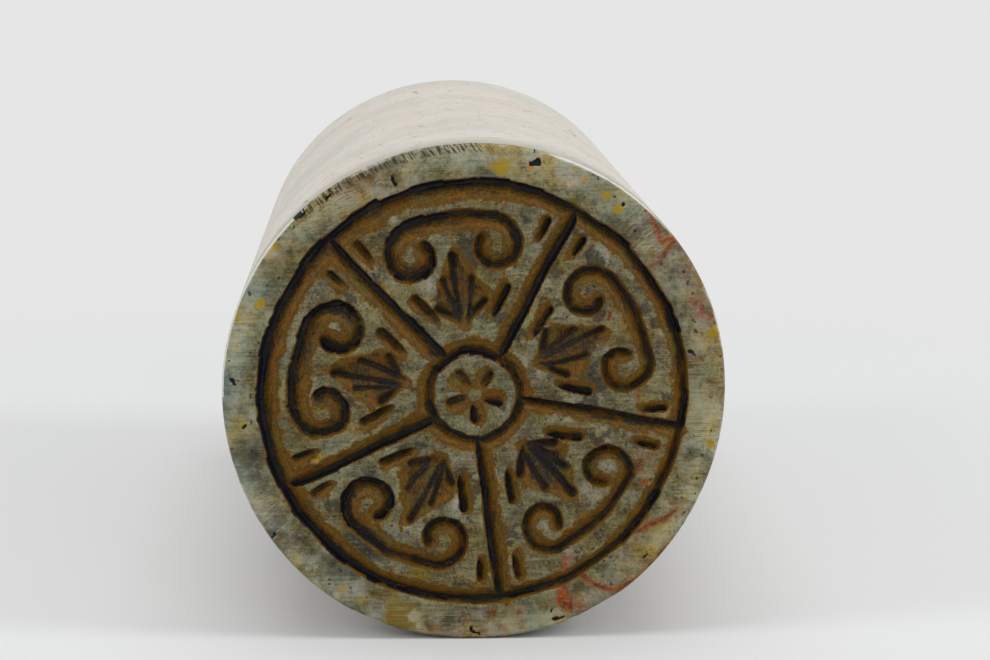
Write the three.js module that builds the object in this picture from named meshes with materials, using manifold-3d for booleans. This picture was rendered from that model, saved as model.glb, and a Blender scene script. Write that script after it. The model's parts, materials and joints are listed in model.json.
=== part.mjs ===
// A round stone seal stamp that lies on its side.
// The stone is one solid cylinder. Its flat face towards -Y is carved with a generic pattern of five clouds round a
// boss, cut as channels below the land that prints, and dried seal paste has stayed behind on the channel floors.
// Units are millimetres, +Z is up, the stone's axis runs along Y, and the origin is the bottom centre.

import * as THREE from "three";
import { mergeVertices } from "three/addons/utils/BufferGeometryUtils.js";
import Module from "manifold-3d";

const wasm = await Module();
wasm.setup();

// The stone blank
const STONE_DIAMETER = 36;
const STONE_LENGTH = 80;
const FACE_EDGE_BEVEL = 0.3;
const FAR_EDGE_RADIUS = 2.5;
// Ground by hand, the stone is a little oval, and its long axis leans up from level by this angle.
const OVALITY = 0.14;
const OVAL_LEAN = THREE.MathUtils.degToRad(64);
// A narrow flat was ground along the underside, which keeps the stone from rolling.
const FLAT_DEPTH = 0.18;

// The carving: widths of the cut channels, and of the lands that are left between them
const CARVING_DEPTH = 1.2;
const RIM_WIDTH = 2.6;
const RING_WIDTH = 1.2;
const DIVIDER_WIDTH = 1.2;
const BOSS_RADIUS = 2.9;
const LINE_WIDTH = 1.25;
const ARC_LAND = 0.95;
const SIDE_LAND = 0.8;
const STEM_LAND = 0.8;
const BUD_LAND = 0.8;

// The pattern: how many sectors there are, and how far the first cloud leans from straight up
const SECTOR_COUNT = 5;
const PATTERN_LEAN = THREE.MathUtils.degToRad(8);
const CURL_TURN = THREE.MathUtils.degToRad(300);
const CURL_EYE_RADIUS = 0.2;
const BUD_WIDTH = 4.2;
const BUD_PEAK = 3.5;

// The petals cut into the boss
const PETAL_TIP_RADIUS = 0.8;
const PETAL_LENGTH = 1.4;
const PETAL_WIDTH = 1.2;

// The dried paste on the channel floors
const PASTE_THICKNESS = 0.35;
const PASTE_MARGIN = 0.15;

// How finely curves are faceted
const ROUND_SEGMENTS = 96;
const EDGE_SEGMENTS = 6;
const RING_STEPS = 36;
const LINE_STEP = 0.65;
const END_SEGMENTS = 4;

// Sizes worked out from the ones above
const STONE_RADIUS = STONE_DIAMETER / 2;
const FACE_Y = -STONE_LENGTH / 2;
const FLOOR_Y = FACE_Y + CARVING_DEPTH;
const PASTE_TOP_Y = FLOOR_Y - PASTE_THICKNESS;
const AXIS_HEIGHT = STONE_RADIUS - FLAT_DEPTH;
const RING_RADIUS = STONE_RADIUS - RIM_WIDTH - RING_WIDTH / 2;
const BOSS_RING_RADIUS = BOSS_RADIUS + RING_WIDTH / 2;
const ARC_RADIUS = RING_RADIUS - RING_WIDTH / 2 - ARC_LAND - LINE_WIDTH / 2;
const HALF_SECTOR = Math.PI / SECTOR_COUNT;
// From a divider's middle, and from the stem's middle, to the middle of the line that passes beside it
const SIDE_OFFSET = DIVIDER_WIDTH / 2 + SIDE_LAND + LINE_WIDTH / 2;
const STEM_OFFSET = STEM_LAND / 2 + LINE_WIDTH / 2;
const CUT_OVERSHOOT = 1;
const QUARTER_TURN = Math.PI / 2;

const stoneFinish = new THREE.MeshStandardMaterial({ color: 0x8d8a6d, roughness: 0.42, metalness: 0 });
const pasteFinish = new THREE.MeshStandardMaterial({ color: 0x3a2414, roughness: 0.6, metalness: 0 });

/** The closed solid of a geometry, ready to be joined or cut. */
function solidFrom(geometry) {
  const plain = geometry.index ? geometry.toNonIndexed() : geometry.clone();
  plain.deleteAttribute("normal");
  plain.deleteAttribute("uv");
  const merged = mergeVertices(plain, 1e-4);
  const vertProperties = new Float32Array(merged.attributes.position.array);
  const triVerts = new Uint32Array(merged.index.array);
  return new wasm.Manifold(new wasm.Mesh({ numProp: 3, vertProperties, triVerts }));
}

/** The geometry of a solid, for a mesh. */
function geometryFrom(solid) {
  const { vertProperties, triVerts } = solid.getMesh();
  const geometry = new THREE.BufferGeometry();
  geometry.setAttribute("position", new THREE.BufferAttribute(vertProperties, 3));
  geometry.setIndex(new THREE.BufferAttribute(triVerts, 1));
  geometry.computeVertexNormals();
  return geometry;
}

/** A named mesh of one piece. */
function piece(name, solid, material) {
  const mesh = new THREE.Mesh(geometryFrom(solid), material);
  mesh.name = name;
  return mesh;
}

/** A point of the face plane, given by its distance from the axis and its angle. */
function polar(radius, angle) {
  return new THREE.Vector2(radius * Math.cos(angle), radius * Math.sin(angle));
}

/** The outline of a line that is cut along points, with round ends. */
function lineOutline(points, width) {
  const half = width / 2;
  const last = points.length - 1;
  const headings = points.map((_, i) => {
    const before = points[Math.max(i - 1, 0)];
    const after = points[Math.min(i + 1, last)];
    return after.clone().sub(before).angle();
  });
  const side = (i, turn) => polar(half, headings[i] + turn).add(points[i]);
  const roundEnd = (i, from) =>
    Array.from({ length: END_SEGMENTS - 1 }, (_, k) => side(i, from - ((k + 1) * Math.PI) / END_SEGMENTS));
  return [
    ...points.map((_, i) => side(i, QUARTER_TURN)),
    ...roundEnd(last, QUARTER_TURN),
    ...points.map((_, i) => side(last - i, -QUARTER_TURN)),
    ...roundEnd(0, -QUARTER_TURN),
  ];
}

/** A carved line along an open curve. The shape is drawn narrower by the trim on each side. */
function line(points, width) {
  return (trim) => new THREE.Shape(lineOutline(points, width - 2 * trim));
}

/** A carved line that closes on itself round the axis. */
function ring(radius, width) {
  return (trim) => {
    const half = width / 2 - trim;
    const shape = new THREE.Shape().absarc(0, 0, radius + half, 0, 2 * Math.PI);
    shape.holes.push(new THREE.Path().absarc(0, 0, radius - half, 0, 2 * Math.PI, true));
    return shape;
  };
}

/** A carved pocket with straight sides. Its corners run anticlockwise, and the trim moves each side inwards. */
function pocket(corners) {
  return (trim) => {
    const inset = corners.map((corner, i) => {
      const before = corners.at(i - 1);
      const after = corners[(i + 1) % corners.length];
      const inFrom = corner.clone().sub(before).angle() + QUARTER_TURN;
      const inTo = after.clone().sub(corner).angle() + QUARTER_TURN;
      const halfTurn = (inTo - inFrom) / 2;
      return polar(trim / Math.cos(halfTurn), inFrom + halfTurn).add(corner);
    });
    return new THREE.Shape(inset);
  };
}

/** The solid of a figure's shapes, joined, from one distance along Y to another. */
function faceSolid(figure, trim, nearY, farY) {
  const solids = figure.map((shapeOf) => {
    const settings = { depth: farY - nearY, bevelEnabled: false, curveSegments: RING_STEPS };
    const geometry = new THREE.ExtrudeGeometry(shapeOf(trim), settings);
    return solidFrom(geometry.translate(0, 0, -farY).rotateX(QUARTER_TURN));
  });
  return solids.reduce((all, next) => all.add(next));
}

/** Points about one line step apart along a curve that a formula gives. */
function pointsAlong(length, pointAt) {
  const steps = Math.max(2, Math.ceil(length / LINE_STEP));
  return Array.from({ length: steps + 1 }, (_, i) => pointAt(i / steps));
}

/**
 * Where a cloud's curls lie: the radius at which they start, and their centre's distance from the axis and angle
 * from the cloud's middle. The radius is the largest that keeps the lands beside the stem and beside the divider.
 */
function curlPlace() {
  const angleTaken = (radius) => {
    const centreRadius = ARC_RADIUS - radius;
    return Math.asin((radius + STEM_OFFSET) / centreRadius) + Math.asin((radius + SIDE_OFFSET) / centreRadius);
  };
  let low = 0;
  let high = (ARC_RADIUS - SIDE_OFFSET) / 2;
  while (high - low > 1e-9) {
    const middle = (low + high) / 2;
    if (angleTaken(middle) > HALF_SECTOR) high = middle;
    else low = middle;
  }
  const centreRadius = ARC_RADIUS - low;
  return { radius: low, centreRadius, lean: Math.asin((low + STEM_OFFSET) / centreRadius) };
}

/** The line of a cloud: an arc inside the ring, whose two ends curl in towards the stem. */
function cloudLine(direction) {
  const { radius, centreRadius, lean } = curlPlace();
  const endRadius = LINE_WIDTH / 2 + CURL_EYE_RADIUS;
  // One half of the line, from the cloud's middle, turning the way that the sign says.
  const half = (sign) => {
    const centre = polar(centreRadius, direction + sign * lean);
    const arc = pointsAlong(ARC_RADIUS * lean, (t) => polar(ARC_RADIUS, direction + sign * lean * t));
    const curl = pointsAlong(((radius + endRadius) / 2) * CURL_TURN, (t) => {
      const angle = direction + sign * (lean + t * CURL_TURN);
      return polar(THREE.MathUtils.lerp(radius, endRadius, t), angle).add(centre);
    });
    return [...arc, ...curl.slice(1)];
  };
  return [...half(-1).reverse(), ...half(1).slice(1)];
}

/** The corners of the bud below a cloud: its tip points to the boss, and its peak lies between the curls. */
function budCorners(direction) {
  const { radius, centreRadius, lean } = curlPlace();
  const curlFoot = centreRadius * Math.cos(lean) - radius - LINE_WIDTH / 2;
  const tipRadius = BOSS_RING_RADIUS + RING_WIDTH / 2 + BUD_LAND;
  const shoulderRadius = curlFoot - BUD_LAND;
  const shoulder = polar(shoulderRadius, direction);
  const across = polar(BUD_WIDTH / 2, direction + QUARTER_TURN);
  return [
    polar(tipRadius, direction),
    shoulder.clone().sub(across),
    polar(shoulderRadius + BUD_PEAK, direction),
    shoulder.clone().add(across),
  ];
}

/** The corners of a petal in the boss, whose tip points to the axis. */
function petalCorners(direction) {
  const base = polar(PETAL_TIP_RADIUS + PETAL_LENGTH, direction);
  const across = polar(PETAL_WIDTH / 2, direction + QUARTER_TURN);
  return [polar(PETAL_TIP_RADIUS, direction), base.clone().sub(across), base.clone().add(across)];
}

/** The directions of the sectors' middles, anticlockwise from +X as the face is seen, turned on by a share. */
function sectorDirections(share = 0) {
  const first = QUARTER_TURN + PATTERN_LEAN;
  return Array.from({ length: SECTOR_COUNT }, (_, n) => first + 2 * HALF_SECTOR * (n + share));
}

/** The channels round the sectors: the ring inside the rim, the ring round the boss and the dividers. */
function mainChannels() {
  const dividers = sectorDirections(0.5).map((direction) =>
    line([polar(BOSS_RING_RADIUS, direction), polar(RING_RADIUS, direction)], DIVIDER_WIDTH),
  );
  return [ring(RING_RADIUS, RING_WIDTH), ring(BOSS_RING_RADIUS, RING_WIDTH), ...dividers];
}

/** Every carved figure that paste has collected in, by the name of its deposit. */
function pasteFigures() {
  const figures = new Map([["main_channels", mainChannels()]]);
  sectorDirections().forEach((direction, n) => {
    figures.set(`cloud_${n + 1}`, [line(cloudLine(direction), LINE_WIDTH)]);
    figures.set(`bud_${n + 1}`, [pocket(budCorners(direction))]);
  });
  return figures;
}

/** The uncarved stone: turned about Y, pressed a little oval, with the flat along its underside. */
function stoneBlank() {
  const farY = STONE_LENGTH / 2;
  const edgeCentre = new THREE.Vector2(STONE_RADIUS - FAR_EDGE_RADIUS, farY - FAR_EDGE_RADIUS);
  const farEdge = Array.from({ length: EDGE_SEGMENTS + 1 }, (_, i) =>
    polar(FAR_EDGE_RADIUS, (i / EDGE_SEGMENTS) * QUARTER_TURN).add(edgeCentre),
  );
  const profile = [
    new THREE.Vector2(0, FACE_Y),
    new THREE.Vector2(STONE_RADIUS - FACE_EDGE_BEVEL, FACE_Y),
    new THREE.Vector2(STONE_RADIUS, FACE_Y + FACE_EDGE_BEVEL),
    ...farEdge,
    new THREE.Vector2(0, farY),
  ];
  const stretch = OVALITY / STONE_DIAMETER;
  const turned = new THREE.LatheGeometry(profile, ROUND_SEGMENTS)
    .rotateY(OVAL_LEAN)
    .scale(1 + stretch, 1, 1 - stretch)
    .rotateY(-OVAL_LEAN);
  const wide = 2 * STONE_DIAMETER;
  const below = new THREE.BoxGeometry(wide, 2 * STONE_LENGTH, wide).translate(0, 0, -AXIS_HEIGHT - wide / 2);
  return solidFrom(turned).subtract(solidFrom(below));
}

/** The carved stone, one solid. */
function carvedStone() {
  const petals = sectorDirections(0.5).map((direction) => pocket(petalCorners(direction)));
  const figures = [...pasteFigures().values(), petals];
  const cutFrom = FACE_Y - CUT_OVERSHOOT;
  const stone = figures.reduce(
    (left, figure) => left.subtract(faceSolid(figure, 0, cutFrom, FLOOR_Y)),
    stoneBlank(),
  );
  return piece("carved_stone", stone, stoneFinish);
}

/** The layers of dried paste, one on the floor of each channel and pocket. */
function driedPaste() {
  return [...pasteFigures()].map(([name, figure]) =>
    piece(`dried_paste_${name}`, faceSolid(figure, PASTE_MARGIN, PASTE_TOP_Y, FLOOR_Y), pasteFinish),
  );
}

const sealStamp = new THREE.Group();
sealStamp.name = "seal_stamp";
sealStamp.add(carvedStone(), ...driedPaste());
sealStamp.position.z = AXIS_HEIGHT;

export default sealStamp;
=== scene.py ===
"""Dress the round stone seal stamp that lies on its side, and set it on a pale floor.

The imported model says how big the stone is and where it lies. The stone is modelled again as one fine mesh whose
carved face is cut stroke by stroke, as a graver cuts it, and the dried paste is modelled as thin crusts that fill
the deepest part of the strokes. Lengths on the face are in millimetres, u to the right and v up from the axis.
"""

import json
import logging
import math
from dataclasses import dataclass, field, replace
from enum import Enum, IntEnum
from functools import cached_property

import bpy
import numpy as np
from mathutils import Matrix, Vector


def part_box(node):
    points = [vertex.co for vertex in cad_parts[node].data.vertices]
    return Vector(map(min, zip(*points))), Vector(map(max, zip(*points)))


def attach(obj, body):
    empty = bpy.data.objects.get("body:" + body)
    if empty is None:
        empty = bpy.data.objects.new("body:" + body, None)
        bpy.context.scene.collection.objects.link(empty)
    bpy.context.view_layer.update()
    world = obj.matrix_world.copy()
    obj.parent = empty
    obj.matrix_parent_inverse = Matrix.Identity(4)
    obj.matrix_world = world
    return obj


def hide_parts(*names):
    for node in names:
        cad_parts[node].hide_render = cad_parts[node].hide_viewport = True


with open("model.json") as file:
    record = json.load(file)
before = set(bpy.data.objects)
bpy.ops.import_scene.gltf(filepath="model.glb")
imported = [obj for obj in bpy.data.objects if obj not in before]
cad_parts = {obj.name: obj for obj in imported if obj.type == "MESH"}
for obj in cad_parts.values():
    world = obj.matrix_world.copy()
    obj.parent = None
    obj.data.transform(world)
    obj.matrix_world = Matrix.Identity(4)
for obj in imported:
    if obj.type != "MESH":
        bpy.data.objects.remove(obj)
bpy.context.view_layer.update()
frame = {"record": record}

MM = 0.001
STONE_NODE = "carved_stone"
PASTE_PREFIX = "dried_paste_"
QUARTER_TURN = math.pi / 2
FULL_TURN = 2 * math.pi
CLOSE_ENOUGH = 1e-9
Array = np.ndarray
Bends = tuple[tuple[float, float, int, int], ...]
Hills = tuple[tuple[float, float, int], ...]
Point = tuple[float, float]
Place = tuple[float, float, float]
Colour = tuple[float, float, float]
log = logging.getLogger("seal_stamp")


class Deposit(IntEnum):
    """What a stroke of the graver belongs to, and so which crust of paste fills it."""

    NONE = 0
    MAIN_CHANNELS = 1
    CLOUD = 10
    BUD = 20
    CLEAN = 90


class Mark(Enum):
    """A kind of natural mark in the stone, by the name of the mesh attribute that holds it."""

    OCHRE = "ochre"
    MOSSY = "mossy"
    ORANGE = "orange"
    RUSSET = "russet"
    SOOT = "soot"
    CREAM = "cream"


class Tint(Enum):
    """A broad change of the stone's colour, by the name of the mesh attribute that holds it.

    DEEP and PALE are partly painted shade and light, darker at the lower left and paler at the top.
    """

    COOL = "cool"
    WARM = "warm"
    ROSY = "rosy"
    DEEP = "deep"
    PALE = "pale"
    SCUFFED = "scuffed"
    SCRATCHED = "scratched"


class Blend(Enum):
    """How one colour goes over another, by Blender's name for it."""

    PAINT = "MIX"
    TINT = "MULTIPLY"


def polar(radius: float | Array, angle: float | Array) -> Array:
    """A point of the face, or several, by distance from the axis and angle from the right, anticlockwise."""
    return np.stack(np.broadcast_arrays(radius * np.cos(angle), radius * np.sin(angle)), axis=-1)


def smooth(values: Array, low: float, high: float) -> Array:
    """A smooth step from 0 at low to 1 at high, or the other way round where low is the larger."""
    share = np.clip((values - low) / (high - low), 0.0, 1.0)
    return share * share * (3.0 - 2.0 * share)


@dataclass(frozen=True)
class Unevenness:
    """Smooth random hills and hollows over the face, the same each time.

    Args:
        cell: how far apart the hills are, in millimetres.
        seed: which hills.
        reach: how far from the axis they are needed, in millimetres.
        margin: how far inside the last cell the outermost points are kept, as a share of a cell.
    """

    cell: float
    seed: int
    reach: float = 24.0
    margin: float = 0.001

    def at(self, u: Array, v: Array) -> Array:
        """Work out the height at points.

        Args:
            u: the points' places to the right.
            v: their places upwards.

        Returns:
            The height at each point, from -1 to 1.
        """
        count = int(2 * self.reach / self.cell) + 3
        last = count - 2 - self.margin
        heights = np.random.default_rng(self.seed).uniform(-1.0, 1.0, (count, count))
        x = np.clip((u + self.reach) / self.cell, 0, last)
        y = np.clip((v + self.reach) / self.cell, 0, last)
        column, row = x.astype(int), y.astype(int)
        across, along = smooth(x - column, 0.0, 1.0), smooth(y - row, 0.0, 1.0)
        lower = heights[row, column] * (1 - across) + heights[row, column + 1] * across
        upper = heights[row + 1, column] * (1 - across) + heights[row + 1, column + 1] * across
        return lower * (1 - along) + upper * along


def bent(u: Array, v: Array, bends: Bends) -> tuple[Array, ...]:
    """Move points a little to and fro, so that what is drawn at them comes out uneven.

    Args:
        u: the points' places to the right.
        v: their places upwards.
        bends: how far each moves them, how far apart its hills are, and its seeds to the right and upwards.

    Returns:
        The moved places to the right and upwards.
    """
    bent_u, bent_v = u, v
    for reach, cell, seed_u, seed_v in bends:
        bent_u = bent_u + reach * Unevenness(cell, seed_u).at(u, v)
        bent_v = bent_v + reach * Unevenness(cell, seed_v).at(u, v)
    return bent_u, bent_v


def hilly(u: Array, v: Array, hills: Hills) -> Array:
    """The height at points of some kinds of hills, each given by its height, its cell and its seed."""
    return sum(height * Unevenness(cell, seed).at(u, v) for height, cell, seed in hills)


@dataclass(frozen=True)
class Pattern:
    """The carved pattern: five clouds, each over a bud, between dividers round a boss. Millimetres."""

    stone_radius: float = 18.0
    rim_width: float = 2.6
    ring_width: float = 1.2
    divider_width: float = 1.2
    boss_radius: float = 2.9
    line_width: float = 1.25
    arc_land: float = 0.95
    side_land: float = 0.8
    stem_land: float = 0.8
    bud_land: float = 0.8
    sectors: int = 5
    lean: float = math.radians(8)
    curl_turn: float = math.radians(300)
    curl_eye_radius: float = 0.2
    bud_width: float = 4.2
    bud_peak: float = 3.5
    petal_tip_radius: float = 0.8
    petal_length: float = 1.4
    petal_width: float = 1.2
    petal_inset: float = 0.3
    side_peck_outer: Point = (0.3, 3.35)
    side_peck_inner: Point = (-1.2, 2.25)
    side_peck_width: float = 0.9
    corner_peck_turn: float = 0.105
    corner_peck_span: Point = (1.25, 2.3)
    corner_peck_width: float = 0.8

    @property
    def ring_radius(self) -> float:
        """The middle of the ring channel inside the rim."""
        return self.stone_radius - self.rim_width - self.ring_width / 2

    @property
    def boss_ring_radius(self) -> float:
        """The middle of the ring channel round the boss."""
        return self.boss_radius + self.ring_width / 2

    @property
    def arc_radius(self) -> float:
        """The middle of a cloud's arc."""
        return self.ring_radius - self.ring_width / 2 - self.arc_land - self.line_width / 2

    def directions(self, share: float = 0.0) -> list[float]:
        """The directions of the sectors' middles, turned on by a share of a sector."""
        first = QUARTER_TURN + self.lean
        return [first + FULL_TURN / self.sectors * (n + share) for n in range(self.sectors)]

    def curl_place(self) -> tuple[float, float, float]:
        """Where a cloud's curls lie.

        Returns:
            The radius at which a curl starts, its centre's distance from the axis, and the angle of that centre
            from the cloud's middle. The radius is the largest that keeps the lands beside it.
        """
        beside_stem = self.stem_land / 2 + self.line_width / 2
        beside_divider = self.divider_width / 2 + self.side_land + self.line_width / 2

        def angle_taken(radius: float) -> float:
            """The angle that a curl of some radius and the lands beside it take up."""
            reach = self.arc_radius - radius
            return math.asin((radius + beside_stem) / reach) + math.asin((radius + beside_divider) / reach)

        low, high = 0.0, (self.arc_radius - beside_divider) / 2
        while high - low > CLOSE_ENOUGH:
            middle = (low + high) / 2
            low, high = (low, middle) if angle_taken(middle) > math.pi / self.sectors else (middle, high)
        reach = self.arc_radius - low
        return low, reach, math.asin((low + beside_stem) / reach)

    def cloud_arc(self, direction: float, points: int = 30) -> Array:
        """The middle of a cloud's arc."""
        _, _, lean = self.curl_place()
        return polar(self.arc_radius, direction + lean * np.linspace(-1, 1, points))

    def cloud_curl(self, direction: float, sign: int, points: int = 80) -> Array:
        """Draw the middle of one of a cloud's curls, from the end of its arc to its eye.

        Args:
            direction: the direction of the cloud's middle.
            sign: 1 for the curl on the anticlockwise side, -1 for the other.
            points: how many points to draw.

        Returns:
            The points, one row each.
        """
        radius, reach, lean = self.curl_place()
        end_radius = self.line_width / 2 + self.curl_eye_radius
        turn = np.linspace(0, 1, points)
        radii = radius + (end_radius - radius) * turn
        curl = polar(radii, direction + sign * (lean + turn * self.curl_turn))
        return curl + polar(reach, direction + sign * lean)

    def bud_shoulders(self) -> tuple[float, float, float]:
        """Find where a bud's corners lie.

        Returns:
            How far from the axis its tip, its shoulders and its peak are.
        """
        radius, reach, lean = self.curl_place()
        tip = self.boss_ring_radius + self.ring_width / 2 + self.bud_land
        shoulder = reach * math.cos(lean) - radius - self.line_width / 2 - self.bud_land
        return tip, shoulder, shoulder + self.bud_peak


@dataclass(frozen=True)
class Trace:
    """What a cut does at some points, with one number for each of them.

    Args:
        level: the share of the cut's depth, from 0 to 1.
        gap: the distance to the cut's edge from outside it, in millimetres.
        foot: how near the point is to the foot of the steep wall, from 0 to 1.
        along: how far along the cut the point is, in millimetres.
        across: how far across it, in millimetres.
    """

    level: Array
    gap: Array
    foot: Array
    along: Array
    across: Array


@dataclass(frozen=True, kw_only=True)
class Cut:
    """Something that the graver takes out of the face.

    Args:
        depth: how deep it is, in millimetres.
        deposit: what it belongs to.
        stain: how brown its deepest part is, from 0 to 1.
        soot: how black the foot of its steep wall is, with paste residue and painted shade, from 0 to 1.
    """

    depth: float
    deposit: int
    stain: float = 1.0
    # soot blackens the foot of the steep wall: partly dried paste residue, partly painted shade in the groove
    soot: float = 0.6


@dataclass(frozen=True, kw_only=True)
class Stroke(Cut):
    """One straight stroke, with a steep wall and a gentle one, and a short and a long end. Millimetres.

    Args:
        start: where the stroke goes in.
        end: where it comes out.
        width: how wide the cut is at the surface.
        steep_side: 1 where the steep wall is to the left of the stroke, -1 to the right.
        entry: how far it takes to reach its depth, before the start.
        run_out: how far it takes to rise again.
        overrun: the share of that which lies past the end.
        deepest: how far towards the steep side the deepest line lies, as a share of half the width.
        clean_side: how much narrower the stain is on the steep side than on the other.
        end_width: how wide the stroke's ends are, as a share of its width.
        scoop: how much of the wall's form is scooped rather than straight.
        foot_rise: how far short of the deepest line the soot and painted shade start and are full, as shares of
            half the width.
        foot_top: where on the steep wall they end and are still full, as shares of half the width.
    """

    start: Point
    end: Point
    width: float
    steep_side: int = 1
    entry: float = 0.3
    run_out: float = 0.8
    overrun: float = 0.7
    deepest: float = 0.62
    clean_side: float = 4.0
    end_width: float = 0.35
    scoop: float = 0.55
    scoop_power: float = 1.8
    foot_rise: Point = (0.62, 0.02)
    foot_top: Point = (1.16, 0.96)
    foot_start: float = 0.35

    @property
    def middle(self) -> Point:
        """The middle of the stroke."""
        return (self.start[0] + self.end[0]) / 2, (self.start[1] + self.end[1]) / 2

    def trace(self, u: Array, v: Array) -> Trace:
        """What the stroke does at points.

        Args:
            u: the points' places to the right.
            v: their places upwards.

        Returns:
            The stroke's trace at each point.
        """
        start, end = np.array(self.start), np.array(self.end)
        length = float(np.hypot(*(end - start)))
        heading = (end - start) / max(length, CLOSE_ENOUGH)
        along = (u - start[0]) * heading[0] + (v - start[1]) * heading[1]
        across = (v - start[1]) * heading[0] - (u - start[0]) * heading[1]
        stop = length + self.run_out * self.overrun
        rise = np.minimum((along + self.entry) / self.entry, (stop - along) / self.run_out)
        share = np.clip(rise, 0.0, 1.0)
        half = self.width / 2 * (self.end_width + (1 - self.end_width) * np.sqrt(share))
        place = across / half * self.steep_side
        steep = (1 - place) / (1 - self.deepest)
        gentle = (1 + place) / (1 + self.deepest)
        wall = np.where(place > self.deepest, steep, gentle).clip(0.0, 1.0)
        level = (1 - self.scoop) * wall + self.scoop * wall**self.scoop_power
        level = level * np.sin(QUARTER_TURN * share)
        past = np.maximum(-(along + self.entry), along - stop).clip(0.0)
        foot = smooth(place, self.deepest - self.foot_rise[0], self.deepest - self.foot_rise[1])
        foot = foot * smooth(place, *self.foot_top) * smooth(share, 0.0, self.foot_start)
        gap = np.hypot((np.abs(across) - half).clip(0.0), past) * np.where(place > 0, self.clean_side, 1.0)
        return Trace(level, gap, foot, along, across)


@dataclass(frozen=True, kw_only=True)
class Knock(Stroke):
    """A small old knock or cut, black with dirt all over, which left no stain beside it.

    Args:
        bends: how uneven its edge is, as bent takes it.
        soot_levels: the shares of its depth at which the dirt starts and is full.
    """

    bends: Bends = ((0.16, 0.34, 61, 62),)
    soot_levels: Point = (0.12, 0.4)

    def trace(self, u: Array, v: Array) -> Trace:
        """What the knock does at points."""
        trace = super().trace(*bent(u, v, self.bends))
        return replace(trace, gap=np.full_like(u, np.inf), foot=smooth(trace.level, *self.soot_levels))


@dataclass(frozen=True, kw_only=True)
class Pocket(Cut):
    """A scooped hollow with straight sides, none of them turned inwards. Millimetres.

    Args:
        corners: its corners, anticlockwise.
        slope: how far its floor takes to go down from the edge.
    """

    corners: tuple[Point, ...]
    slope: float = 0.8

    @property
    def middle(self) -> Point:
        """The middle of the corners."""
        return tuple(np.mean(np.array(self.corners), axis=0))

    def trace(self, u: Array, v: Array) -> Trace:
        """What the hollow does at points.

        Args:
            u: the points' places to the right.
            v: their places upwards.

        Returns:
            The hollow's trace at each point. It has no steep wall.
        """
        inside = np.full(u.shape, np.inf)
        for (u0, v0), (u1, v1) in zip(self.corners, self.corners[1:] + self.corners[:1]):
            length = math.hypot(u1 - u0, v1 - v0)
            inside = np.minimum(inside, ((u1 - u0) * (v - v0) - (v1 - v0) * (u - u0)) / length)
        return Trace(smooth(inside, 0.0, self.slope), (-inside).clip(0.0), np.zeros_like(u), v, u)


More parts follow.
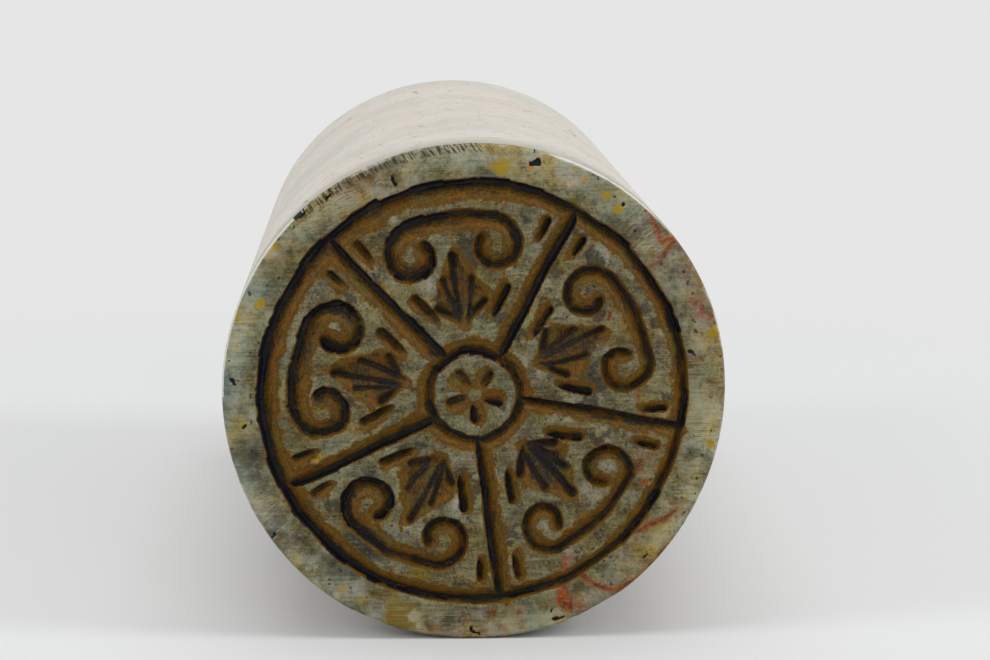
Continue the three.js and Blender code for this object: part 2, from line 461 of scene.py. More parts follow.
@dataclass
class Graver:
    """Cuts the pattern as a hand does: in short straight strokes that overlap, none quite like the last.

    Args:
        pattern: what to cut.
        carving_depth: how deep the deepest strokes go.
        slip: how far the ends of strokes miss their places.
        spread: how much wider the strokes are than the pattern's lines.
        black_swing: how much blacker some strokes are than others.
        heavy_side: the direction of the side where the strokes are wider and blacker.
        heavy_black: how much blacker they are there.
        heavy_width: a stroke's width on the middle line, and how much that grows on the heavy side, as factors.
        depth_range: the least and the greatest depth of a stroke beside the mean, as stain_range for its stain.
        seed: which slips the hand makes.
        cuts: what has been cut so far.
    """

    pattern: Pattern
    carving_depth: float = 1.2
    slip: float = 0.05
    spread: float = 1.12
    black_swing: float = 0.3
    heavy_side: float = math.radians(152)
    heavy_black: float = 0.3
    heavy_width: Point = (0.94, 0.26)
    depth_range: Point = (0.9, 1.08)
    stain_range: Point = (0.72, 1.0)
    longest_run_out: float = 0.8
    seed: int = 11
    cuts: list[Cut] = field(default_factory=list)

    def __post_init__(self) -> None:
        """Start the hand's small slips from the seed."""
        self.random = np.random.default_rng(self.seed)

    def follow(
        self, path: Array, width: float, depth: float, deposit: int, steep_side: int, length: float, soot: float
    ) -> None:
        """Cut along a path.

        Args:
            path: points along it.
            width: the strokes' mean width.
            depth: the strokes' mean depth.
            deposit: what the strokes belong to.
            steep_side: which side of the path the steep wall is on, as in Stroke.
            length: the strokes' mean length.
            soot: how black the strokes are on average.
        """
        steps = np.hypot(*np.diff(path, axis=0).T)
        travelled = np.concatenate([[0], np.cumsum(steps)])
        count = max(2, round(travelled[-1] / length))
        stops = np.linspace(0, travelled[-1], count + 1)
        joints = np.stack([np.interp(stops, travelled, path[:, axis]) for axis in (0, 1)], axis=1)
        joints += self.random.normal(0, self.slip, joints.shape)
        unlike = min(0.18, 0.07 * length)
        least_width, heavy_width = self.heavy_width
        for first, second in zip(joints[:-1], joints[1:]):
            heavy = self.heaviness((first + second) / 2)
            swing = self.random.uniform(0.98 - unlike, 0.98 + unlike)
            self.stroke(
                first,
                second,
                width=width * swing * (least_width + heavy_width * heavy),
                depth=min(depth * self.random.uniform(*self.depth_range), self.carving_depth),
                deposit=deposit,
                stain=self.random.uniform(*self.stain_range),
                soot=max(0.0, soot + self.heavy_black * heavy + self.black_swing * self.blackness(first, second)),
                steep_side=steep_side,
                run_out=self.longest_run_out * min(1.0, length),
            )

    def stroke(self, start: Array, end: Array, **form: float) -> None:
        """Cut one stroke from one point to another, of the form that Stroke's fields give."""
        self.cuts.append(Stroke(start=tuple(start), end=tuple(end), **form))

    def slips(self) -> Array:
        """How far the hand misses the start and the end of one stroke."""
        return self.random.normal(0, self.slip, (2, 2))

    def blackness(self, first: Array, second: Array) -> float:
        """How much blacker the stroke between two points is than most, from -1 to 1."""
        u, v = (first[:, None] + second[:, None]) / 2
        return float(Unevenness(cell=3.4, seed=60).at(u, v)[0])

    def heaviness(self, place: Array) -> float:
        """How much wider and blacker the strokes are at a place than on average, from -1 to 1."""
        return float(np.dot(place, polar(1.0, self.heavy_side)) / self.pattern.ring_radius)

    def circle(self, radius: float, points: int = 241) -> Array:
        """The points of a circle round the axis."""
        return polar(radius, np.linspace(0, FULL_TURN, points) + self.random.uniform(0, 6))

    def main_channels(self) -> None:
        """Cut the ring inside the rim, the ring round the boss and the dividers."""
        pattern = self.pattern
        wide, deep = pattern.ring_width * self.spread, self.carving_depth
        channels = Deposit.MAIN_CHANNELS
        ring, boss_ring = self.circle(pattern.ring_radius), pattern.boss_ring_radius
        self.follow(ring, wide, deep * 0.97, channels, steep_side=-1, length=2.3, soot=0.72)
        ring = self.circle(boss_ring)
        self.follow(ring, wide * 0.9, deep * 0.88, channels, steep_side=1, length=1.4, soot=0.5)
        wide = pattern.divider_width * self.spread
        for n, direction in enumerate(pattern.directions(0.5)):
            path = polar(np.linspace(boss_ring, pattern.ring_radius, 40), direction)
            side = 1 if n % 2 else -1
            self.follow(path, wide, deep * 0.95, channels, steep_side=side, length=4.0, soot=0.75)

    def cloud(self, number: int, direction: float) -> None:
        """Cut one cloud's line: its arc, and then each curl from the arc to the curl's eye.

        Args:
            number: the cloud's number, from 1.
            direction: the direction of its middle.
        """
        width, depth = self.pattern.line_width * self.spread, self.carving_depth * 0.92
        deposit = Deposit.CLOUD + number
        arc = self.pattern.cloud_arc(direction)
        self.follow(arc, width, depth, deposit, steep_side=-1, length=1.9, soot=0.3)
        for sign in (1, -1):
            curl = self.pattern.cloud_curl(direction, sign)
            self.follow(curl, width * 0.95, depth, deposit, steep_side=-sign, length=0.75, soot=0.35)

    def bud(self, number: int, direction: float, fan: int = 5, inset: float = 0.5, run: float = 0.9) -> None:
        """Scoop out one bud, then deepen it with a fan of strokes that run together towards its tip.

        Args:
            number: the bud's number, from 1.
            direction: the direction of its middle.
            fan: how many strokes there are.
            inset: how far inside the bud's edge they start, in millimetres.
            run: how far outside its tip they end.
        """
        tip, shoulder, peak = self.pattern.bud_shoulders()
        half = self.pattern.bud_width / 2
        aside = direction + QUARTER_TURN
        corners = (
            tuple(polar(tip, direction)),
            tuple(polar(shoulder, direction) - polar(half, aside)),
            tuple(polar(peak, direction)),
            tuple(polar(shoulder, direction) + polar(half, aside)),
        )
        deposit = Deposit.BUD + number
        self.cuts.append(Pocket(corners=corners, depth=self.carving_depth * 0.55, deposit=deposit, stain=0.5))
        for share in np.linspace(-1, 1, fan):
            across = share * (half - inset)
            outward = shoulder + (peak - shoulder) * (1 - abs(share)) - inset
            slip = self.slips()
            self.stroke(
                polar(outward, direction) + polar(across, aside) + slip[0],
                polar(tip + run, direction) + polar(across * 0.3, aside) + slip[1],
                width=1.1,
                depth=self.carving_depth * self.random.uniform(0.76, 0.98),
                deposit=deposit,
                soot=self.random.uniform(0.0, 0.5),
                steep_side=1 if share < 0 else -1,
                run_out=1.5,
            )

    def side_cuts(self) -> None:
        """Cut the short strokes beside each bud and in the corners of each sector."""
        pattern = self.pattern
        _, shoulder, _ = pattern.bud_shoulders()
        outer, inner, corner_span = pattern.side_peck_outer, pattern.side_peck_inner, pattern.corner_peck_span
        for direction in pattern.directions():
            for sign in (1, -1):
                aside = direction + sign * QUARTER_TURN
                start = polar(shoulder + outer[0], direction) + polar(outer[1], aside)
                end = polar(shoulder + inner[0], direction) + polar(inner[1], aside)
                self.peck(start, end, pattern.side_peck_width)
                corner = direction + sign * (math.pi / pattern.sectors - pattern.corner_peck_turn)
                start, end = (polar(pattern.ring_radius - inward, corner) for inward in corner_span)
                self.peck(start, end, pattern.corner_peck_width)

    def peck(self, start: Array, end: Array, width: float) -> None:
        """Cut one short stroke that belongs to the main channels.

        Args:
            start: where it goes in.
            end: where it comes out.
            width: how wide it is, in millimetres.
        """
        slip = self.slips()
        self.stroke(
            start + slip[0],
            end + slip[1],
            width=width,
            depth=self.carving_depth * self.random.uniform(0.75, 0.88),
            deposit=Deposit.MAIN_CHANNELS,
            stain=0.85,
            entry=0.25,
            run_out=1.1,
        )

    def petals(self) -> None:
        """Cut the petals into the boss, one stroke each."""
        pattern = self.pattern
        inner = pattern.petal_tip_radius + pattern.petal_inset
        outer = pattern.petal_tip_radius + pattern.petal_length - pattern.petal_inset
        for direction in pattern.directions(0.5):
            self.stroke(
                polar(outer, direction),
                polar(inner, direction),
                width=pattern.petal_width,
                depth=self.carving_depth * 0.62,
                deposit=Deposit.CLEAN,
                stain=0.9,
                run_out=0.9,
            )

    def carve(self) -> list[Cut]:
        """Cut the whole pattern.

        Returns:
            Every cut, in the order of cutting.
        """
        self.main_channels()
        for number, direction in enumerate(self.pattern.directions(), start=1):
            self.cloud(number, direction)
            self.bud(number, direction)
        self.side_cuts()
        self.petals()
        return self.cuts


@dataclass(frozen=True)
class Nick:
    """A small old cut or knock in the rim, dark with dirt. Millimetres, and the angle it runs at."""

    u: float
    v: float
    length: float
    width: float
    depth: float
    angle: float

    def knock(self) -> Knock:
        """Turn the nick into something that the face loses.

        Returns:
            The knock.
        """
        half = polar(self.length / 2, math.radians(self.angle))
        middle = np.array((self.u, self.v))
        return Knock(
            start=tuple(middle - half),
            end=tuple(middle + half),
            width=self.width,
            depth=self.depth,
            deposit=Deposit.CLEAN,
            soot=1.3,
            entry=0.12,
            run_out=0.25,
        )


@dataclass(frozen=True)
class Vein:
    """A thin red vein: how far its colour reaches to each side, and points along it. Millimetres."""

    reach: float
    points: tuple[Point, ...]


@dataclass(frozen=True)
class Chip:
    """A flake broken from the edge of the face.

    Args:
        angle: where on the edge, in degrees from the right, anticlockwise.
        depth: how far the flake reaches in from the edge, in millimetres.
        breadth: how wide it is along the edge, in millimetres.
        tilt: how much the break faces sideways rather than forwards, from 0 to 1.
    """

    angle: float
    depth: float
    breadth: float
    tilt: float = 0.6


@dataclass(frozen=True)
class GroundFlat:
    """A faint flat that hand grinding left along the stone.

    Args:
        angle: which way it faces, in degrees from the right, anticlockwise.
        depth: how much it takes off, in millimetres.
    """

    angle: float
    depth: float


NICKS = (
    Nick(4.35, 16.55, 0.75, 0.55, 0.4, 22),
    Nick(4.2, 17.45, 0.2, 0.15, 0.1, 80),
    Nick(-10.3, 14.2, 0.55, 0.26, 0.25, 76),
    Nick(-5.8, 15.25, 0.6, 0.24, 0.2, -58),
    Nick(-17.2, 1.1, 0.5, 0.3, 0.2, -40),
    Nick(-12.3, 12.85, 0.75, 0.24, 0.2, 44),
    Nick(-16.4, -2.2, 0.2, 0.3, 0.15, 10),
    Nick(0.0, -17.3, 0.8, 0.42, 0.35, -26),
    Nick(10.6, 13.6, 0.15, 0.42, 0.3, 20),
    Nick(15.6, 2.9, 0.9, 0.12, 0.1, -12),
    Nick(12.3, -11.8, 0.5, 0.14, 0.12, 55),
    Nick(13.6, -11.6, 0.45, 0.14, 0.12, 78),
    Nick(6.0, -16.4, 0.75, 0.5, 0.4, 25),
    Nick(5.6, -15.8, 0.2, 0.4, 0.2, 80),
    Nick(-14.4, -10.1, 0.3, 0.24, 0.2, 40),
)

# Natural marks and soft tints, each as its place to the right and upwards and its radius
SPOTS = {
    Mark.OCHRE: (
        (1.95, 16.3, 0.62), (1.2, 16.35, 0.18), (-14.3, 10.6, 0.4), (-14.55, 10.1, 0.3),
        (-15.2, 6.6, 0.36), (-16.9, 5.6, 0.22), (7.1, 16.1, 0.2), (7.75, 15.45, 0.24), (6.7, 15.1, 0.2),
        (9.3, 14.3, 0.3), (17.1, 4.5, 0.46), (16.9, -3.7, 0.3), (-16.5, -2.05, 0.3), (-9.6, -14.0, 0.25),
        (-11.2, -4.4, 0.45), (7.1, -13.0, 0.35), (10.2, 13.3, 0.34),
    ),
    Mark.MOSSY: (
        (-5.3, -16.1, 1.25), (-4.1, -13.4, 0.9), (5.6, 9.2, 0.9), (-6.2, 7.4, 0.7),
    ),
    Mark.ORANGE: (
        (3.95, 16.28, 0.13), (4.6, 16.85, 0.07), (1.9, 15.3, 0.12), (2.1, 13.9, 0.1), (7.1, 6.9, 0.1),
        (-11.3, -4.9, 0.12),
    ),
    Mark.RUSSET: (
        (6.5, -15.0, 0.62), (7.6, -15.4, 0.3), (6.6, -12.7, 0.3), (-6.1, -16.1, 0.16), (11.7, -5.2, 0.42),
        (12.3, -6.4, 0.34), (6.9, -12.0, 0.26), (8.2, 7.0, 0.24), (15.4, 6.9, 0.2), (-0.6, -16.4, 0.2),
        (1.3, -15.9, 0.16), (2.0, -16.9, 0.18), (3.2, -15.9, 0.2), (0.6, -17.2, 0.14),
    ),
    Mark.SOOT: (
        (-8.4, -10.9, 1.5), (-9.6, -12.1, 0.9), (-15.8, -4.35, 0.45), (4.2, 2.0, 0.5),
    ),
    Mark.CREAM: (
        (-4.4, -16.1, 0.42), (-4.05, -16.75, 0.26), (-9.9, -14.6, 0.3),
    ),
}

WASHES = {
    Tint.COOL: (
        (-16.5, 4.0, 7.0), (-14.0, -8.0, 7.0), (-9.0, -13.5, 5.0), (-2.5, 1.0, 4.0), (8.5, 13.5, 4.0),
        (-8.0, -6.0, 3.0), (3.5, 1.5, 2.4), (-4.0, 9.0, 2.6), (7.5, 3.5, 2.6), (4.5, -7.5, 2.6),
    ),
    Tint.WARM: (
        (-9.5, 5.0, 3.4), (9.5, 9.0, 3.0), (0.0, -12.5, 3.4), (4.8, 5.4, 2.2), (17.5, -5.0, 8.0),
        (17.0, 4.0, 4.2), (17.4, -1.0, 4.0), (-6.0, -16.0, 4.0), (10.0, -13.0, 7.0), (-8.0, 15.5, 5.0),
        (3.0, -17.0, 6.0),
    ),
    Tint.ROSY: (
        (14.5, 10.0, 4.0), (13.5, 3.5, 3.6), (5.6, 11.0, 2.0), (-12.2, 5.4, 2.2), (8.3, -13.8, 2.6),
        (1.4, -16.6, 2.4), (-2.2, -16.9, 1.6), (1.5, -4.5, 2.2), (9.0, 6.0, 2.4), (-8.0, 14.8, 2.2),
        (12.0, -4.0, 2.0),
    ),
    # DEEP washes at the lower left are partly painted shade, as from a light above, and partly the stone's own
    # darker tone
    Tint.DEEP: (
        (-13.0, -8.8, 2.6), (-8.6, -11.0, 2.6), (-0.8, 0.6, 2.0), (2.0, -16.2, 3.0), (10.6, 12.2, 2.2),
    ),
    # PALE washes along the top are partly painted light from above and partly the stone's own paler tone
    Tint.PALE: (
        (-0.5, 18.2, 3.0), (-5.5, 17.4, 2.2), (5.5, 17.4, 2.6), (11.0, 14.2, 2.6), (17.6, -3.6, 3.6),
        (15.2, -9.0, 2.4), (-17.6, 4.2, 2.4), (-12.6, -12.6, 2.4),
    ),
    Tint.SCUFFED: (
        (-16.6, 3.6, 2.6), (16.2, -4.5, 3.4),
    ),
    Tint.SCRATCHED: (
        (-9.2, 14.0, 3.4), (12.6, 11.6, 2.0), (-15.0, -9.0, 2.2),
    ),
}

VEINS = (
    Vein(0.1, ((12.4, 13.2), (12.6, 12.6), (12.7, 12.2), (13.0, 11.8), (13.2, 11.4), (13.1, 11.0), (13.3, 10.8))),
    Vein(0.12, ((13.3, 10.8), (13.5, 11.1), (13.8, 11.2), (14.2, 11.2), (14.5, 11.1), (14.7, 10.8), (15.0, 10.4))),
    Vein(0.08, ((15.0, 10.4), (15.3, 9.9), (15.6, 9.4), (16.0, 8.7), (16.4, 7.9))),
    Vein(0.09, ((14.5, 11.1), (14.1, 10.9), (13.9, 10.7), (13.6, 10.3), (13.4, 9.9), (13.1, 9.8), (12.8, 9.5))),
    Vein(0.05, ((12.8, 9.5), (12.5, 9.1), (12.0, 9.0), (11.5, 8.6))),
    Vein(0.1, ((15.7, 6.5), (15.9, 6.7), (16.1, 6.6), (16.2, 6.2), (16.0, 6.0), (16.1, 5.7), (16.5, 5.5))),
    Vein(0.12, ((16.5, 5.5), (16.8, 5.5), (17.1, 5.6), (17.0, 5.9))),
    Vein(0.07, ((8.9, 8.8), (9.3, 8.7), (9.6, 8.4), (9.5, 8.0), (9.7, 7.7), (10.0, 7.9), (10.1, 8.3))),
    Vein(0.05, ((9.7, 5.9), (9.5, 5.4))),
    Vein(0.1, ((14.4, -8.5), (14.0, -8.8), (13.4, -9.2), (13.0, -9.3), (12.4, -9.7), (11.8, -9.9), (11.2, -10.2))),
    Vein(0.16, ((14.5, -10.7), (13.8, -11.4), (13.1, -12.2), (12.2, -13.1), (11.3, -13.8), (10.6, -14.2))),
    Vein(0.1, ((7.7, -13.1), (8.0, -13.4), (8.3, -13.6), (8.9, -14.0), (9.7, -14.3), (10.6, -14.2))),
    Vein(0.16, ((6.5, -12.0), (6.7, -12.4), (6.5, -12.8), (6.6, -13.2))),
    Vein(0.3, ((6.2, -14.0), (6.4, -14.5), (6.2, -15.0), (6.8, -15.4))),
    Vein(0.06, ((11.4, 0.4), (12.2, -1.0), (12.0, -2.6), (12.9, -4.0))),
)

CHIPS = (
    Chip(-67.0, 0.42, 1.5),
    Chip(-74.0, 0.25, 0.9),
    Chip(133.0, 0.2, 1.5, 0.8),
    Chip(-148.0, 0.18, 0.6),
    Chip(53.0, 0.16, 0.7),
    Chip(-39.0, 0.2, 0.8),
    Chip(9.5, 0.14, 0.5),
    Chip(-20.0, 0.12, 0.5),
    Chip(101.0, 0.1, 0.6),
    Chip(176.0, 0.1, 0.5),
)

GROUND_FLATS = (
    GroundFlat(-60.0, 0.16),
    GroundFlat(-24.0, 0.14),
    GroundFlat(115.0, 0.06),
)


class Value:
    """A number or colour that a shader works out. Arithmetic on it adds the nodes that do it."""

    def __init__(self, graph: "Graph", socket: bpy.types.NodeSocket) -> None:
        """Wrap a socket of the graph."""
        self.graph = graph
        self.socket = socket

    def other(self, output: int | str) -> "Value":
        """Another output of the node that this one comes from."""
        return Value(self.graph, self.socket.node.outputs[output])

    def _math(self, operation: str, *terms: "Value | float") -> "Value":
        """A Math node on some terms."""
        return self.graph.add("ShaderNodeMath", {"operation": operation}, dict(enumerate(terms)))

    def __add__(self, other: "Value | float") -> "Value":
        """Self plus other."""
        return self._math("ADD", self, other)

    __radd__ = __add__

    def __sub__(self, other: "Value | float") -> "Value":
        """Self minus other."""
        return self._math("SUBTRACT", self, other)

    def __rsub__(self, other: float) -> "Value":
        """Other minus self."""
        return self._math("SUBTRACT", other, self)

    def __mul__(self, other: "Value | float") -> "Value":
        """Self times other."""
        return self._math("MULTIPLY", self, other)

    __rmul__ = __mul__

    def power(self, exponent: float) -> "Value":
        """Self to a power."""
        return self._math("POWER", self, exponent)

    def larger(self, other: "Value") -> "Value":
        """Self or the other, whichever is larger."""
        return self._math("MAXIMUM", self, other)

    def step(self, low: float, high: float) -> "Value":
        """A smooth step from 0 at low to 1 at high, or falling where low is the larger."""
        ends = {"Value": self, "From Min": low, "From Max": high}
        return self.graph.add("ShaderNodeMapRange", {"interpolation_type": "SMOOTHSTEP"}, ends)


@dataclass(frozen=True)
class Coat:
    """A colour that goes over what is under it.

    Args:
        cover: where it goes, from 0 to 1.
        strength: how strong it is there.
        paint: its colour.
        how: whether it hides what is under it or tints it.
    """

    cover: Value
    strength: float
    paint: Value | Colour
    how: Blend = Blend.PAINT


class Graph:
    """The nodes of a material, or of the world."""

    def __init__(self, owner: bpy.types.Material | bpy.types.World) -> None:
        """Start with no nodes.

        Args:
            owner: the material or world.
        """
        self.owner = owner
        owner.use_nodes = True
        owner.node_tree.nodes.clear()

    def add(
        self,
        kind: str,
        settings: dict[str, object] | None = None,
        inputs: dict[int | str, object] | None = None,
        output: int | str = 0,
    ) -> Value | None:
        """Add a node.

        Args:
            kind: the node's type.
            settings: its own settings, which are set first.
            inputs: the value or link of each of its sockets.
            output: which of its outputs is wanted.

        Returns:
            That output, or nothing for a node that has none.
        """
        tree = self.owner.node_tree
        node = tree.nodes.new(kind)
        for name, setting in (settings or {}).items():
            setattr(node, name, setting)
        for name, given in (inputs or {}).items():
            socket = node.inputs[name]
            if isinstance(given, Value):
                tree.links.new(given.socket, socket)
            elif isinstance(given, tuple) and socket.type == "RGBA":
                socket.default_value = (*given, 1.0)
            else:
                socket.default_value = given
        return Value(self, node.outputs[output]) if node.outputs else None

    def blend(
        self, share: Value, first: Value | Colour, second: Value | Colour, how: Blend = Blend.PAINT
    ) -> Value:
        """One colour, turning into a second as the share goes from 0 to 1."""
        settings = {"data_type": "RGBA", "blend_type": how.value}
        return self.add("ShaderNodeMix", settings, {0: share, 6: first, 7: second}, 2)

    def paint(self, under: Value | Colour, *coats: Coat) -> Value:
        """Lay coats of colour over each other.

        Args:
            under: the colour under them all.
            coats: the coats, from the lowest up.

        Returns:
            The colour that shows.
        """
        for coat in coats:
            under = self.blend(coat.cover * coat.strength, under, coat.paint, coat.how)
        return under

    def attribute(self, name: str) -> Value:
        """A number that the mesh holds at each of its points."""
        return self.add("ShaderNodeAttribute", {"attribute_name": name}, output="Fac")

    def object_place(self, stretch: Place = (1.0, 1.0, 1.0)) -> Value:
        """The place on the piece in millimetres, times a factor along each axis."""
        inputs = {0: self.add("ShaderNodeTexCoord", output="Object"), 1: tuple(one / MM for one in stretch)}
        return self.add("ShaderNodeVectorMath", {"operation": "MULTIPLY"}, inputs)

    def moved(self, place: Value, by: Place) -> Value:
        """A place moved by some millimetres, so that two patterns differ."""
        return self.add("ShaderNodeVectorMath", {"operation": "ADD"}, {0: place, 1: by})

    @cached_property
    def place(self) -> Value:
        """The place on the piece, in millimetres."""
        return self.object_place()

    def noise(
        self,
        size: float,
        detail: float = 3.0,
        rough: float = 0.55,
        warp: float = 0.0,
        shift: Place = (0.0, 0.0, 0.0),
        place: Value | None = None,
    ) -> Value:
        """Make cloudy noise.

        Args:
            size: about how far apart its blots are, in millimetres.
            detail: how many finer noises are added to it.
            rough: how strong each of those is beside the one before.
            warp: how far the blots are swirled.
            shift: how far it is moved in millimetres, so that no two are alike.
            place: where to read it, if not at the place on the piece.

        Returns:
            The noise, from about 0.2 to 0.8.
        """
        moved = self.moved(place or self.place, shift)
        inputs = {"Vector": moved, "Scale": 1 / size, "Detail": detail, "Roughness": rough, "Distortion": warp}
        return self.add("ShaderNodeTexNoise", None, inputs)

    def specks(self, spacing: float, radius: float, share: float, shift: Place = (0.0, 0.0, 0.0)) -> Value:
        """Small scattered specks with uneven edges.

        Args:
            spacing: how far apart specks may be, in millimetres.
            radius: the radius of a speck, in millimetres.
            share: the share of those places that have a speck.
            shift: how far they are moved.

        Returns:
            1 in a speck and 0 outside it.
        """
        place = self.moved(self.place, shift)
        distance = self.add("ShaderNodeTexVoronoi", None, {"Vector": place, "Scale": 1 / spacing}, "Distance")
        chosen = self.parts(distance.other("Color"))[0].step(share + 0.02, share - 0.02)
        reach = radius / spacing
        uneven = (self.noise(size=radius * 1.6, detail=2, place=place) - 0.5) * (0.8 * reach)
        return (distance + uneven).step(reach, reach * 0.6) * chosen

    def seams(self, spacing: float, bend: float, shift: Place) -> Value:
        """The distance from the nearest of some bent seams that meet like cracks.

        Args:
            spacing: how far apart the seams are, in millimetres.
            bend: how far they wander, in millimetres.
            shift: how far they are moved.

        Returns:
            The distance, as a share of the spacing.
        """
        place = self.moved(self.place, shift)
        wander = self.noise(size=spacing / 1.6, detail=4, rough=0.6, place=place).other("Color")
        reach = {0: wander, 1: (bend, bend, bend), 2: place}
        bent_place = self.add("ShaderNodeVectorMath", {"operation": "MULTIPLY_ADD"}, reach)
        cells = {"Vector": bent_place, "Scale": 1 / spacing}
        return self.add("ShaderNodeTexVoronoi", {"feature": "DISTANCE_TO_EDGE"}, cells, "Distance")

    def parts(self, place: Value) -> tuple[Value, Value, Value]:
        """The three coordinates of a place."""
        x = self.add("ShaderNodeSeparateXYZ", None, {0: place})
        return x, x.other(1), x.other(2)

    def surface(self, colour: Value, rough: Value, height: Value, specular: float) -> Value:
        """Make a surface with a fine relief.

        Args:
            colour: its colour.
            rough: its roughness.
            height: the height of its relief, in millimetres.
            specular: the strength of its gloss.

        Returns:
            The surface shader.
        """
        bump = self.add("ShaderNodeBump", None, {"Strength": 1.0, "Distance": MM, "Height": height}, "Normal")
        inputs = {"Base Color": colour, "Roughness": rough, "Normal": bump, "Specular IOR Level": specular}
        return self.add("ShaderNodeBsdfPrincipled", None, inputs | {"IOR": 1.5})

    def finish(
        self, surface: Value, kind: str = "ShaderNodeOutputMaterial"
    ) -> bpy.types.Material | bpy.types.World:
        """Link a shader to an output node of a kind, and return the material or world."""
        self.add(kind, None, {"Surface": surface})
        return self.owner


